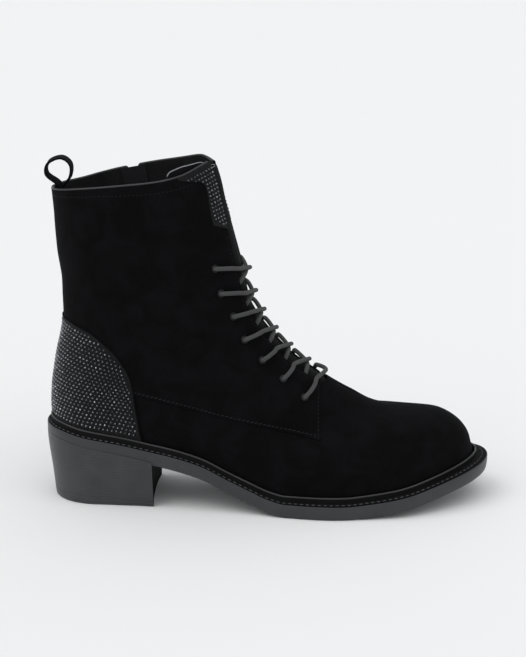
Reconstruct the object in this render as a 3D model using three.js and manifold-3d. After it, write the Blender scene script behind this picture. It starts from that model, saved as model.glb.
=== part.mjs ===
// Right ankle boot with a block heel: laced front, zip on the inner side.
// Millimetres. +X is the toe, -Y the outer (lateral) side, +Y the inner (medial) side, +Z up.
import * as THREE from "three";
import { mergeVertices } from "three/addons/utils/BufferGeometryUtils.js";
import Module from "manifold-3d";

const wasm = await Module();
wasm.setup();

// Last and shaft
const lastLength = 264;
const ballWidth = 85;
const shaftWidth = 60;
const collarDepth = 101;
const collarSetback = 3.3;
const backHeight = 194.5;
const frontHeight = 215;
const heelPitch = 39.5;
const toeSpring = 15;

// Upper
const wall = 2;
const seamStep = 0.8;
const seamWidth = 0.35;
const facingGap = 24;
const throatLevel = 0.41;
const seamBackHeight = 91;
const seamFrontHeight = 46.8;
const seamBow = 0.8;
const gap = 0.3;

// Sole
const weltWidth = 5.5;
const weltThickness = 1.5;
const beadHeight = 3;
const beadWidth = 2.5;
const soleThickness = 9;
const soleBevel = 0.8;
const heelLength = 68.5;
const heelTaper = 3.4;
const heelInset = 0.5;
const insoleThickness = 2.4;

// Overlays, tongue and loop
const counterLength = 58;
const counterHeight = 64;
const counterThickness = 1.1;
const panelThickness = 0.9;
const panelHeight = 46;
const panelClearance = 10;
const tongueThickness = 2.2;
const tongueRise = 3;
const tongueClearance = 0.9;
const tongueWrap = [1.4, 2.2, 3.4, 4.2];
const loopWidth = 14;
const loopHeight = 18.5;
const loopDepth = 14.6;
const loopTail = 16;
const strapThickness = 1.5;
const loopStandOff = 2.4;

// Eyelets and lace
const eyeletPairs = 7;
const eyeletHole = 2.8;
const eyeletFlange = 5;
const eyeletThickness = 0.7;
const eyeletWall = 0.5;
const laceDiameter = 2.7;
const laceClearance = 0.4;

// Zip
const zipTopX = 54;
const zipFootX = 84;
const zipFootLevel = 0.23;
const zipGap = 6.4;
const zipToothDepth = 1.5;
const tapeWidth = 15;
const tapeThickness = 0.6;
const sliderLength = 9.5;
const sliderWidth = 7.6;
const sliderThickness = 2.4;
const sliderDrop = 10;
const bridgeWidth = 2;
const bridgeSpan = 6.6;
const bridgeBar = 0.9;
const pullLength = 24;
const pullWidth = 7;
const pullThickness = 1.3;

const soleStack = soleThickness + weltThickness + beadHeight + gap;
const weltBack = 0.75 * weltWidth;
const lastBackX = weltBack;
const lastToeX = lastBackX + lastLength;
const laceRadius = laceDiameter / 2;

// A smooth reading between rows of [place, value] that never overshoots a row.
function smoothTable(rows) {
  const steps = rows.slice(1).map((row, i) => (row[1] - rows[i][1]) / (row[0] - rows[i][0]));
  const slopes = rows.map((row, i) => {
    if (i === 0) return steps[0];
    if (i === rows.length - 1) return steps[i - 1];
    const product = steps[i - 1] * steps[i];
    return product <= 0 ? 0 : (2 * product) / (steps[i - 1] + steps[i]);
  });
  return (place) => {
    const x = THREE.MathUtils.clamp(place, rows[0][0], rows.at(-1)[0]);
    let i = 0;
    while (i < rows.length - 2 && x > rows[i + 1][0]) i += 1;
    const width = rows[i + 1][0] - rows[i][0];
    const u = (x - rows[i][0]) / width;
    const low = rows[i][1] * (1 + 2 * u) * (1 - u) ** 2 + slopes[i] * width * u * (1 - u) ** 2;
    const high = rows[i + 1][1] * u * u * (3 - 2 * u) - slopes[i + 1] * width * u * u * (1 - u);
    return low + high;
  };
}
const mix = THREE.MathUtils.lerp;

// Underside of the sole: share of the last's length, share of the heel pitch and of the toe spring.
const pitchShare = smoothTable([
  [0, 1], [0.03, 0.975], [0.075, 0.915], [0.12, 0.865], [0.17, 0.81], [0.225, 0.735], [0.3, 0.635], [0.36, 0.52],
  [0.42, 0.325], [0.47, 0.175], [0.52, 0.045], [0.555, 0], [1, 0],
]);
const springShare = smoothTable([
  [0, 0], [0.69, 0], [0.76, 0.11], [0.83, 0.3], [0.895, 0.56], [0.95, 0.8], [1, 1], [1.05, 1.18],
]);
function soleBottom(x) {
  const share = (x - lastBackX) / lastLength;
  return heelPitch * pitchShare(share) + toeSpring * springShare(share);
}
const featherHeight = (x) => soleBottom(x) + soleStack;
const weltTop = (x) => soleBottom(x) + soleThickness + weltThickness + gap;

// Back line of the upper: level, share of the collar's depth forward of the last's back.
const backForward = smoothTable([
  [0, 0], [0.05, -0.004], [0.12, 0.003], [0.2, 0.023], [0.3, 0.048], [0.36, 0.067], [0.42, 0.081],
  [0.5, 0.083], [0.6, 0.079], [0.67, 0.071], [0.75, 0.057], [0.86, 0.044], [1, collarSetback / collarDepth],
]);
// Front line from the toe tip over the instep to the collar: level, share back, share up.
const frontTable = [
  [0, 0, 0], [0.043, 0.023, 0.059], [0.075, 0.054, 0.097], [0.108, 0.098, 0.126], [0.134, 0.138, 0.141],
  [0.188, 0.229, 0.151], [0.242, 0.32, 0.155], [0.286, 0.392, 0.17], [0.345, 0.48, 0.207],
  [0.39, 0.545, 0.243], [0.443, 0.62, 0.286], [0.496, 0.693, 0.33], [0.552, 0.759, 0.389],
  [0.611, 0.818, 0.457], [0.667, 0.862, 0.53], [0.729, 0.89, 0.616], [0.782, 0.909, 0.692],
  [0.85, 0.934, 0.789], [0.904, 0.959, 0.865], [0.958, 0.981, 0.941], [1, 1, 1],
];
const frontBack = smoothTable(frontTable.map((row) => [row[0], row[1]]));
const frontUp = smoothTable(frontTable.map((row) => [row[0], row[2]]));
const collarFrontX = lastBackX + collarSetback + collarDepth;
const backX = (level) => lastBackX + collarDepth * backForward(level);
const backZ = (level) => mix(featherHeight(lastBackX), backHeight, level);
const frontX = (level) => mix(lastToeX, collarFrontX, frontBack(level));
const frontZ = (level) => mix(featherHeight(lastToeX), frontHeight, frontUp(level));

// Rise of the collar from back to front on each side: share forward, share of the rise.
const collarRise = {
  lateral: smoothTable([[0, 0], [0.21, 0.16], [0.45, 0.27], [0.68, 0.4], [0.8, 0.54], [0.9, 0.76], [1, 1]]),
  medial: smoothTable([[0, 0], [0.13, 0.06], [0.28, 0.23], [0.37, 0.34], [0.56, 0.52], [0.76, 0.7], [1, 1]]),
};

// Half widths: for each level, shares of a named width at these shares of the way forward.
const stations = [0.08, 0.2, 0.42, 0.55, 0.69, 0.8, 0.9, 1];
const widthRows = [
  { level: 0, of: ballWidth, shares: [0.315, 0.335, 0.355, 0.43, 0.505, 0.485, 0.43, 0.4] },
  { level: 0.1, of: ballWidth, shares: [0.34, 0.358, 0.365, 0.425, 0.49, 0.44, 0.37, 0.34] },
  { level: 0.2, of: ballWidth, shares: [0.347, 0.362, 0.36, 0.39, 0.42, 0.4, 0.374, 0.353] },
  { level: 0.3, of: ballWidth, shares: [0.341, 0.355, 0.36, 0.365, 0.36, 0.342, 0.327, 0.318] },
  { level: throatLevel, of: shaftWidth, shares: [0.47, 0.483, 0.51, 0.515, 0.505, 0.49, 0.47, 0.45] },
  { level: 0.7, of: shaftWidth, shares: [0.49, 0.505, 0.52, 0.525, 0.52, 0.515, 0.5, 0.49] },
  { level: 1, of: shaftWidth, shares: [0.475, 0.48, 0.485, 0.49, 0.49, 0.485, 0.48, 0.475] },
];
const widthCurves = widthRows.map((row) =>
  smoothTable(row.shares.map((share, i) => [stations[i], share * row.of])),
);
// How far the round of the back and of the front reaches: level, share of the ball width.
const backRound = smoothTable([[0, 0.33], [0.2, 0.36], [throatLevel, 0.38], [1, 0.38]]);
const frontRound = smoothTable([
  [0, 0.62], [0.1, 0.5], [0.2, 0.68], [0.3, 0.6], [throatLevel, 0.6], [0.7, 0.62], [1, 0.55],
]);
// Sideways swing of the last's middle line towards the inner side: share forward, share of the ball width.
const swing = smoothTable([
  [0, 0], [0.25, -0.005], [0.45, -0.03], [0.7, 0], [0.85, 0.03], [1, 0.075], [1.05, 0.09],
]);
// How far the arch pushes the low middle line to the outer side, and the level where that ends.
const archSwing = smoothTable([[0.2, 0], [0.43, 0.036], [0.58, 0.032], [0.72, 0]]);
const archTop = 0.3;
function middleY(x, level) {
  const share = (x - lastBackX) / lastLength;
  return ballWidth * (swing(share) - archSwing(share) * (1 - Math.min(level / archTop, 1)));
}

function roundEnd(distance, reach) {
  const u = THREE.MathUtils.clamp(distance / reach, 0, 1);
  return Math.sqrt(u * (2 - u));
}
function halfWidth(level, share) {
  return smoothTable(widthRows.map((row, i) => [row.level, widthCurves[i](share)]))(level);
}
// Height on the side view: a patch between the feather line, the collar, the back line and the front line.
function sideHeight(level, share, side) {
  const low = featherHeight(lastBackX);
  const toe = featherHeight(lastToeX);
  const rise = collarRise[side < 0 ? "lateral" : "medial"](share);
  const across = mix(featherHeight(mix(lastBackX, lastToeX, share)), mix(backHeight, frontHeight, rise), level);
  const along = mix(backZ(level), frontZ(level), share);
  return across + along - mix(mix(low, toe, share), mix(backHeight, frontHeight, share), level);
}
// A point of the upper: the angle runs from the front (0) over the outer side to the back (pi) and round.
function skin(level, angle) {
  const side = Math.sin(angle) >= 0 ? -1 : 1;
  const share = (1 + Math.cos(angle)) / 2;
  const x = mix(backX(level), frontX(level), share);
  const length = frontX(level) - backX(level);
  const round =
    roundEnd(share * length, backRound(level) * ballWidth) *
    roundEnd((1 - share) * length, frontRound(level) * ballWidth);
  const y = middleY(x, level) + side * halfWidth(level, share) * round;
  return new THREE.Vector3(x, y, sideHeight(level, share, side));
}
function skinNormal(level, angle) {
  const step = 0.004;
  const low = Math.max(level - step, 0);
  const high = Math.min(level + step, 1);
  const up = skin(high, angle).sub(skin(low, angle));
  const round = skin(level, angle + step).sub(skin(level, angle - step));
  return up.cross(round).normalize();
}
const offSkin = (level, angle, out) => skin(level, angle).addScaledVector(skinNormal(level, angle), out);
const angleAt = (level, x) => {
  const share = (x - backX(level)) / (frontX(level) - backX(level));
  return Math.acos(THREE.MathUtils.clamp(2 * share - 1, -1, 1));
};
// Level and angle of the place that shows at x and z in the side view.
function locate(x, z, side) {
  let low = 0;
  let high = 1;
  for (let i = 0; i < 40; i += 1) {
    const level = (low + high) / 2;
    const share = THREE.MathUtils.clamp((x - backX(level)) / (frontX(level) - backX(level)), 0, 1);
    if (sideHeight(level, share, side) < z) low = level;
    else high = level;
  }
  const angle = angleAt(low, x);
  return { level: low, angle: side < 0 ? angle : 2 * Math.PI - angle };
}

// Edge of the facing: half the throat's gap from the middle, and below the throat the quarter's front edge.
function edgeShare(level) {
  const length = frontX(level) - backX(level);
  const reach = frontRound(level) * ballWidth;
  const half = facingGap / 2 / halfWidth(level, 1);
  return 1 - (reach * (1 - Math.sqrt(1 - half * half))) / length;
}
const quarterFrontX = mix(backX(throatLevel), frontX(throatLevel), edgeShare(throatLevel));
function edgeAngle(level) {
  if (level >= throatLevel) return Math.acos(2 * edgeShare(level) - 1);
  return Math.max(angleAt(level, quarterFrontX), Math.acos(2 * edgeShare(throatLevel) - 1));
}
const seamAngle = (level) => seamWidth / skin(level, edgeAngle(level)).distanceTo(skin(level, edgeAngle(level) + 0.01)) / 100;
const zipX = (level) => mix(zipFootX, zipTopX, Math.max((level - zipFootLevel) / (1 - zipFootLevel), -0.3));

// Columns from the front to the back: runs of even steps between lines that the columns follow.
const runs = { vamp: 8, seam: 1, side: 8, zip: 1, heel: 6 };
const seamColumn = runs.vamp;
const quarterColumn = seamColumn + runs.seam;
const zipFrontColumn = quarterColumn + runs.side;
const zipBackColumn = zipFrontColumn + runs.zip;
const halfColumns = zipBackColumn + runs.heel;
const columns = 2 * halfColumns;
function halfAngle(level, column) {
  const marks = [
    0,
    edgeAngle(level),
    edgeAngle(level) + seamAngle(level),
    angleAt(level, zipX(level) + zipGap / 2),
    angleAt(level, zipX(level) - zipGap / 2),
    Math.PI,
  ];
  const counts = Object.values(runs);
  let run = 0;
  let left = column;
  while (left > counts[run]) {
    left -= counts[run];
    run += 1;
  }
  return mix(marks[run], marks[run + 1], left / counts[run]);
}
function columnAngle(level, column) {
  if (column <= halfColumns) return halfAngle(level, column);
  return 2 * Math.PI - halfAngle(level, columns - column);
}

// Level of the seam between quarter and lower panel, worked out on each column.
function seamHeight(x) {
  const share = THREE.MathUtils.clamp((x - lastBackX) / (quarterFrontX - lastBackX), 0, 1);
  return mix(seamBackHeight, seamFrontHeight, share ** seamBow);
}
function seamLevel(column) {
  const half = Math.min(column, columns - column);
  const followed = Math.max(half, seamColumn);
  let low = 0;
  let high = throatLevel;
  for (let i = 0; i < 30; i += 1) {
    const level = (low + high) / 2;
    const place = skin(level, halfAngle(level, followed));
    if (place.z < seamHeight(place.x)) low = level;
    else high = level;
  }
  return low;
}
// Rows of the upper from the feather line to the collar.
const panelRows = [0, 0.12, 0.3, 0.52, 0.76, 1];
const quarterRows = 4;
const shaftRows = 9;
const seamRow = panelRows.length - 1;
const throatRow = seamRow + 1 + quarterRows;
const topRow = throatRow + shaftRows;
const rowStep = seamWidth / (frontHeight - featherHeight(lastToeX));
function rowLevel(row, column) {
  const seam = seamLevel(column);
  if (row <= seamRow) return panelRows[row] * seam;
  if (row <= throatRow) return mix(seam + rowStep, throatLevel, (row - seamRow - 1) / quarterRows);
  return mix(throatLevel, 1, (row - throatRow) / shaftRows);
}

// Faces and points gathered into one closed geometry.
function gather() {
  const places = [];
  return {
    quad(a, b, c, d) {
      places.push(a, b, c, a, c, d);
    },
    triangle(a, b, c) {
      places.push(a, b, c);
    },
    geometry() {
      const positions = places.flatMap((p) => [p.x, p.y, p.z]);
      const geometry = new THREE.BufferGeometry();
      geometry.setAttribute("position", new THREE.Float32BufferAttribute(positions, 3));
      return geometry;
    },
  };
}
// A sheet between two grids of points; keep(row, column) says which quads are there.
function sheet(outer, inner, wraps, keep) {
  const rowCount = outer.length - 1;
  const columnCount = wraps ? outer[0].length : outer[0].length - 1;
  const wrap = (j) => (wraps ? (j + columnCount) % columnCount : j);
  const there = (i, j) => {
    if (i < 0 || i >= rowCount) return false;
    if (!wraps && (j < 0 || j >= columnCount)) return false;
    return keep(i, wrap(j));
  };
  const body = gather();
  for (let i = 0; i < rowCount; i += 1) {
    for (let j = 0; j < columnCount; j += 1) {
      if (!there(i, j)) continue;
      const k = wrap(j + 1);
      body.quad(outer[i][j], outer[i + 1][j], outer[i + 1][k], outer[i][k]);
      body.quad(inner[i][j], inner[i][k], inner[i + 1][k], inner[i + 1][j]);
      if (!there(i - 1, j)) body.quad(outer[i][k], inner[i][k], inner[i][j], outer[i][j]);
      if (!there(i + 1, j)) body.quad(outer[i + 1][j], inner[i + 1][j], inner[i + 1][k], outer[i + 1][k]);
      if (!there(i, j - 1)) body.quad(outer[i][j], inner[i][j], inner[i + 1][j], outer[i + 1][j]);
      if (!there(i, j + 1)) body.quad(outer[i + 1][k], inner[i + 1][k], inner[i][k], outer[i][k]);
    }
  }
  return body.geometry();
}
// A body from rings of points, closed below and above by strips between mirrored points.
function ringBody(rings, tipped) {
  const count = rings[0].length;
  const body = gather();
  for (let i = 0; i < rings.length - 1; i += 1) {
    for (let j = 0; j < count; j += 1) {
      const k = (j + 1) % count;
      body.quad(rings[i][j], rings[i + 1][j], rings[i + 1][k], rings[i][k]);
    }
  }
  const partner = (j) => (tipped ? (count - j) % count : count - 1 - j);
  const half = Math.ceil(count / 2);
  for (const [ring, turned] of [[rings[0], false], [rings.at(-1), true]]) {
    for (let j = 0; j < half; j += 1) {
      const corners = [ring[j], ring[j + 1], ring[partner(j + 1)], ring[partner(j)]];
      const distinct = corners.filter((p, i) => corners.indexOf(p) === i);
      if (turned) distinct.reverse();
      if (distinct.length === 4) body.quad(...distinct);
      if (distinct.length === 3) body.triangle(...distinct);
    }
  }
  return body.geometry();
}
// Joins and cuts between closed geometries.
function toSolid(geometry) {
  const plain = geometry.index ? geometry.toNonIndexed() : geometry.clone();
  plain.deleteAttribute("normal");
  plain.deleteAttribute("uv");
  const merged = mergeVertices(plain, 1e-3);
  const vertProperties = merged.attributes.position.array;
  return new wasm.Manifold(new wasm.Mesh({ numProp: 3, vertProperties, triVerts: merged.index.array }));
}
function fromSolid(solid) {
  const { vertProperties, triVerts, numProp } = solid.getMesh();
  const geometry = new THREE.BufferGeometry();
  const positions = [];
  for (let i = 0; i < vertProperties.length; i += numProp) positions.push(...vertProperties.slice(i, i + 3));
  geometry.setAttribute("position", new THREE.Float32BufferAttribute(positions, 3));
  geometry.setIndex(Array.from(triVerts));
  return geometry;
}
const joined = (geometries) => fromSolid(geometries.map(toSolid).reduce((all, next) => all.add(next)));
// A prism right across the boot with the given outline in the side view.
function sidePrism(outline) {
  const shape = new THREE.Shape(outline.map(([x, z]) => new THREE.Vector2(x, z)));
  const prism = new THREE.ExtrudeGeometry(shape, { depth: 2 * ballWidth, bevelEnabled: false });
  prism.rotateX(Math.PI / 2);
  prism.translate(0, ballWidth, 0);
  return prism;
}
function smoothOutline(points, steps) {
  const curve = new THREE.CatmullRomCurve3(points.map(([x, z]) => new THREE.Vector3(x, z, 0)), false, "centripetal");
  return curve.getPoints(steps).map((p) => [p.x, p.y]);
}

const boot = new THREE.Group();
boot.name = "ankle_boot";
function addPiece(name, geometry, finish) {
  geometry.computeVertexNormals();
  const mesh = new THREE.Mesh(geometry, new THREE.MeshStandardMaterial(finish));
  mesh.name = name;
  boot.add(mesh);
  return mesh;
}
const suede = { color: 0x17171a, roughness: 0.95, metalness: 0 };
const lining = { color: 0x1b1a1b, roughness: 0.6, metalness: 0 };
const studded = { color: 0x4a4b50, roughness: 0.35, metalness: 0.3 };
const weltRubber = { color: 0x2c2c2f, roughness: 0.5, metalness: 0 };
const soleRubber = { color: 0x3a3b3d, roughness: 0.55, metalness: 0 };
const cordFibre = { color: 0x3a3c3c, roughness: 0.85, metalness: 0 };
const darkMetal = { color: 0x101012, roughness: 0.4, metalness: 0.8 };
const silverMetal = { color: 0xb9bcc0, roughness: 0.25, metalness: 1 };

// Upper: one hollow wall, open at the collar, the throat, the zip and underneath.
const inQuarter = (row, column) => {
  const half = Math.min(column, columns - column);
  return row > seamRow && half >= quarterColumn;
};
function upperGrid(out) {
  const grid = [];
  for (let row = 0; row <= topRow; row += 1) {
    const line = [];
    for (let column = 0; column < columns; column += 1) {
      const level = rowLevel(row, column);
      line.push(out(level, columnAngle(level, column), row, column));
    }
    grid.push(line);
  }
  const skirt = grid[0].map((p) => new THREE.Vector3(p.x, p.y, weltTop(p.x) + gap));
  return [skirt, ...grid];
}
function sunk(place) {
  return -seamStep * THREE.MathUtils.smoothstep(place.x, 0.6 * counterLength, counterLength);
}
const upperOuter = upperGrid((level, angle, row, column) =>
  inQuarter(row, column) ? skin(level, angle) : offSkin(level, angle, sunk(skin(level, angle))),
);
const upperInner = upperGrid((level, angle) => offSkin(level, angle, -wall));
const zipRowLow = 1 + seamRow + 1;
const throatGridRow = 1 + throatRow;
function upperKeeps(row, column) {
  const inThroat = column < quarterColumn || column >= columns - quarterColumn;
  if (inThroat && row >= throatGridRow) return false;
  const inZip = column === columns - zipBackColumn;
  return !(inZip && row >= zipRowLow);
}
const upperBlank = toSolid(sheet(upperOuter, upperInner, true, upperKeeps));

// Eyelet places: shares from the throat's base to the collar's front, back and up.
const eyeletTable = [
  [0.225, -0.049], [0.415, 0.034], [0.599, 0.119], [0.757, 0.212], [0.858, 0.314], [0.962, 0.419], [1.012, 0.529],
];
const eyeletCurve = new THREE.CatmullRomCurve3(
  eyeletTable.map(([back, up]) => new THREE.Vector3(back, up, 0)),
);
function eyeletPlace(share, side) {
  const point = eyeletCurve.getPoint(share);
  const x = mix(frontX(throatLevel), collarFrontX, point.x);
  const z = mix(frontZ(throatLevel), frontHeight, point.y);
  return locate(x, z, side);
}
// Turns a piece made along +Z, with its foot at the origin, to stand on the skin.
function standOnSkin(geometry, place, out) {
  const normal = skinNormal(place.level, place.angle);
  const up = new THREE.Vector3(0, 0, 1);
  geometry.applyQuaternion(new THREE.Quaternion().setFromUnitVectors(up, normal));
  const spot = offSkin(place.level, place.angle, out);
  geometry.translate(spot.x, spot.y, spot.z);
  return geometry;
}
const eyelets = [];
for (let pair = 0; pair < eyeletPairs; pair += 1) {
  for (const side of [-1, 1]) eyelets.push({ pair, side, place: eyeletPlace(pair / (eyeletPairs - 1), side) });
}
const holeRadius = eyeletHole / 2 + eyeletWall + gap;
const holeDepth = 4 * wall;
const holes = eyelets.map(({ place }) => {
  const drill = new THREE.CylinderGeometry(holeRadius, holeRadius, holeDepth, 8);
  drill.rotateX(Math.PI / 2);
  return standOnSkin(drill, place, 0);
});
const holed = holes.reduce((solid, hole) => solid.subtract(toSolid(hole)), upperBlank);
addPiece("upper", fromSolid(holed), suede);

function eyeletRing() {
  const bore = eyeletHole / 2;
  const flange = eyeletFlange / 2;
  const profile = [
    new THREE.Vector2(bore, -wall),
    new THREE.Vector2(bore + eyeletWall, -wall),
    new THREE.Vector2(bore + eyeletWall, gap),
    new THREE.Vector2(flange, gap),
    new THREE.Vector2(flange, gap + eyeletThickness / 2),
    new THREE.Vector2(bore, gap + eyeletThickness),
    new THREE.Vector2(bore, -wall),
  ];
  const ring = new THREE.LatheGeometry(profile, 8);
  ring.rotateX(Math.PI / 2);
  return ring;
}
for (const { pair, side, place } of eyelets) {
  const name = `eyelet_${side < 0 ? "lateral" : "medial"}_${pair + 1}`;
  addPiece(name, standOnSkin(eyeletRing(), place, 0), darkMetal);
}

// Sole: outline offset from the feather line.
const weltShare = smoothTable([
  [0, 0.75], [0.12, 0.62], [0.4, 0.72], [0.55, 0.86], [0.7, 1], [0.9, 1.25], [1, 1.6],
]);
const margin = (angle) => weltWidth * weltShare((1 + Math.cos(angle)) / 2);
function outline(angle, out, height) {
  const step = 0.01;
  const spot = skin(0, angle);
  const along = skin(0, angle + step).sub(skin(0, angle - step));
  const normal = new THREE.Vector3(-along.y, along.x, 0).normalize();
  spot.addScaledVector(normal, out);
  return new THREE.Vector3(spot.x, spot.y, height(spot.x));
}
const soleAngles = Array.from({ length: columns }, (_, column) => columnAngle(0, column));
const soleRing = (out, height) => soleAngles.map((angle) => outline(angle, out(angle), height));

addPiece(
  "outsole",
  ringBody(
    [
      soleRing((a) => margin(a) - soleBevel - 0.4, soleBottom),
      soleRing((a) => margin(a) - 0.4, (x) => soleBottom(x) + soleBevel),
      soleRing((a) => margin(a) + 0.2, (x) => soleBottom(x) + soleThickness / 2),
      soleRing((a) => margin(a), (x) => soleBottom(x) + soleThickness - soleBevel / 2),
      soleRing((a) => margin(a) - soleBevel / 2, (x) => soleBottom(x) + soleThickness),
    ],
    true,
  ),
  soleRubber,
);
const weltBase = (x) => soleBottom(x) + soleThickness + gap;
addPiece(
  "welt",
  ringBody(
    [
      soleRing((a) => margin(a) - 1, weltBase),
      soleRing((a) => margin(a) - 0.7, weltTop),
      soleRing(() => gap + beadWidth, weltTop),
      soleRing(() => gap + beadWidth, (x) => weltTop(x) + 0.55 * beadHeight),
      soleRing(() => gap + 0.75 * beadWidth, (x) => weltTop(x) + 0.92 * beadHeight),
      soleRing(() => gap + 0.3 * beadWidth, (x) => weltTop(x) + 0.92 * beadHeight),
      soleRing(() => gap, (x) => weltTop(x) + 0.6 * beadHeight),
      soleRing(() => gap, weltTop),
    ],
    true,
  ),
  weltRubber,
);
const insoleOut = -wall - 2 * gap;
addPiece(
  "insole",
  ringBody(
    [
      soleRing(() => insoleOut, (x) => weltTop(x) + gap),
      soleRing(() => insoleOut, (x) => weltTop(x) + gap + insoleThickness),
    ],
    true,
  ),
  lining,
);

// Heel block: the sole's outline behind the breast, tapering to the floor.
const heelSteps = 10;
const breastAngle = angleAt(0, heelLength);
const heelAngles = Array.from({ length: 2 * heelSteps + 1 }, (_, i) =>
  mix(breastAngle, 2 * Math.PI - breastAngle, i / (2 * heelSteps)),
);
heelAngles.splice(heelSteps, 1);
function heelRing(drop, inset) {
  return heelAngles.map((angle) => {
    const top = outline(angle, margin(angle) - inset, (x) => soleBottom(x) - gap);
    return new THREE.Vector3(top.x, top.y, top.z * (1 - drop));
  });
}
addPiece(
  "heel_block",
  ringBody(
    [
      heelRing(1, heelInset + heelTaper + soleBevel / 2),
      heelRing(0.97, heelInset + heelTaper),
      heelRing(0.5, heelInset + 0.65 * heelTaper),
      heelRing(0.04, heelInset),
      heelRing(0, heelInset + soleBevel / 2),
    ],
    false,
  ),
  soleRubber,
);

// Overlays: a sheet just off the upper, on the upper's own rows and columns, cut in the side view.
function overlayGrid(area, out) {
  const rows = THREE.MathUtils.clamp(area.rows[1], 0, topRow) - area.rows[0] + 1;
  const count = area.columns[1] - area.columns[0] + 1;
  return Array.from({ length: rows }, (_, i) =>
    Array.from({ length: count }, (_, j) => {
      const level = rowLevel(area.rows[0] + i, area.columns[0] + j);
      const place = offSkin(level, columnAngle(level, area.columns[0] + j), out);
      if (area.rows[0] + i === 0) place.z = featherHeight(place.x) + gap;
      return place;
    }),
  );
}
const always = () => true;
function overlay(area, thickness, cutter) {
  const blank = sheet(overlayGrid(area, gap + thickness), overlayGrid(area, gap), false, always);
  return fromSolid(toSolid(blank).intersect(toSolid(cutter)));
}
const counterArea = { rows: [0, throatRow + 2], columns: [zipFrontColumn, columns - zipFrontColumn] };
// Front edge of the counter: share forward of the last's back, share up from the feather line.
const counterEdge = smoothOutline(
  [[-0.2, 1.01], [0.17, 0.98], [0.36, 0.93], [0.5, 0.88], [0.68, 0.75], [0.83, 0.58], [0.9, 0.43], [0.94, 0.19], [1, -0.2]],
  16,
).map(([forward, up]) => [lastBackX + forward * counterLength, featherHeight(lastBackX) + up * counterHeight]);
const counterPrism = sidePrism([
  ...counterEdge, [lastBackX + counterLength, 0], [-counterLength, 0], [-counterLength, counterEdge[0][1]],
]);
addPiece("counter", overlay(counterArea, counterThickness, counterPrism), studded);

// Studded panels beside the throat: back edge as shares of the panel's height down and of the collar's depth.
const panelBack = [[-0.1, 0.13], [0.25, 0.12], [0.41, 0.06], [0.73, 0.03], [1, -0.012]].map(([down, back]) => [
  collarFrontX - back * collarDepth,
  frontHeight - down * panelHeight,
]);
const panelFoot = [collarFrontX + 0.2 * collarDepth, frontHeight - 0.88 * panelHeight];
const panelOutline = [...panelBack, panelFoot, [panelFoot[0], frontHeight + panelClearance]];
const panelRowsBelow = 5;
const panelColumns = 5;
for (const [name, side] of [["front_panel_lateral", -1], ["front_panel_medial", 1]]) {
  const first = side < 0 ? quarterColumn : columns - quarterColumn - panelColumns;
  const area = { rows: [topRow - panelRowsBelow, topRow], columns: [first, first + panelColumns] };
  addPiece(name, overlay(area, panelThickness, sidePrism(panelOutline)), studded);
}

// Tongue: a curved sheet under the facings, on the upper's rows, rising a little above the collar's front.
const tongueOut = -wall - tongueClearance;
const tongueReach = smoothTable([0, 0.3, 0.7, 1].map((share, i) => [share, tongueWrap[i]]));
const tongueColumns = 4;
function columnPoint(row, column, out) {
  const corners = [Math.floor(column), Math.ceil(column)].map((whole) => {
    const wrapped = (whole + columns) % columns;
    const level = rowLevel(row, wrapped);
    return offSkin(level, columnAngle(level, wrapped), out);
  });
  return corners[0].lerp(corners[1], column - Math.floor(column));
}
function tongueGrid(out) {
  const grid = [];
  for (let row = throatRow - 1; row <= topRow; row += 1) {
    const reach = tongueReach((row - throatRow) / shaftRows) / tongueColumns;
    const half = [quarterColumn / 2];
    for (let k = 0; k <= tongueColumns; k += 1) half.push(quarterColumn + k * reach);
    const places = [...half.map((column) => -column).reverse(), 0, ...half];
    grid.push(places.map((column) => columnPoint(row, column, out)));
  }
  const last = grid.at(-1);
  const before = grid.at(-2);
  grid.push(last.map((p, i) => p.clone().addScaledVector(p.clone().sub(before[i]).normalize(), tongueRise)));
  return grid;
}
addPiece("tongue", sheet(tongueGrid(tongueOut), tongueGrid(tongueOut - tongueThickness), false, always), lining);

// Pull loop: a strap bent over itself, with both ends held inside the back of the collar.
function loopOutline() {
  const root = backX(1) + wall + strapThickness / 2 + loopStandOff;
  const top = backHeight + loopHeight;
  const bend = [
    [root, backHeight - loopTail], [root, backHeight - 0.5], [root - 1.2, backHeight + 3],
    [root - 0.5 * loopDepth, backHeight + 0.45 * loopHeight],
    [root - 0.42 * loopDepth, backHeight + 0.8 * loopHeight],
    [root + 0.1 * loopDepth, top - strapThickness / 2],
    [root + 0.47 * loopDepth, backHeight + 0.75 * loopHeight],
    [root + 0.45 * loopDepth, backHeight + 0.35 * loopHeight],
    [root + strapThickness + gap, backHeight - 1], [root + strapThickness + gap, backHeight - loopTail],
  ];
  const curve = new THREE.CatmullRomCurve3(bend.map(([x, z]) => new THREE.Vector3(x, 0, z)), false, "centripetal");
  const count = 36;
  const line = curve.getSpacedPoints(count);
  const edge = (out) =>
    line.map((p, i) => {
      const along = line[Math.min(i + 1, count)].clone().sub(line[Math.max(i - 1, 0)]).normalize();
      return new THREE.Vector2(p.x - along.z * out, p.z + along.x * out);
    });
  return new THREE.Shape([...edge(strapThickness / 2), ...edge(-strapThickness / 2).reverse()]);
}
const loop = new THREE.ExtrudeGeometry(loopOutline(), { depth: loopWidth, bevelEnabled: false });
loop.rotateX(Math.PI / 2);
loop.translate(0, loopWidth / 2, 0);
addPiece("pull_loop", loop, suede);

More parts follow.
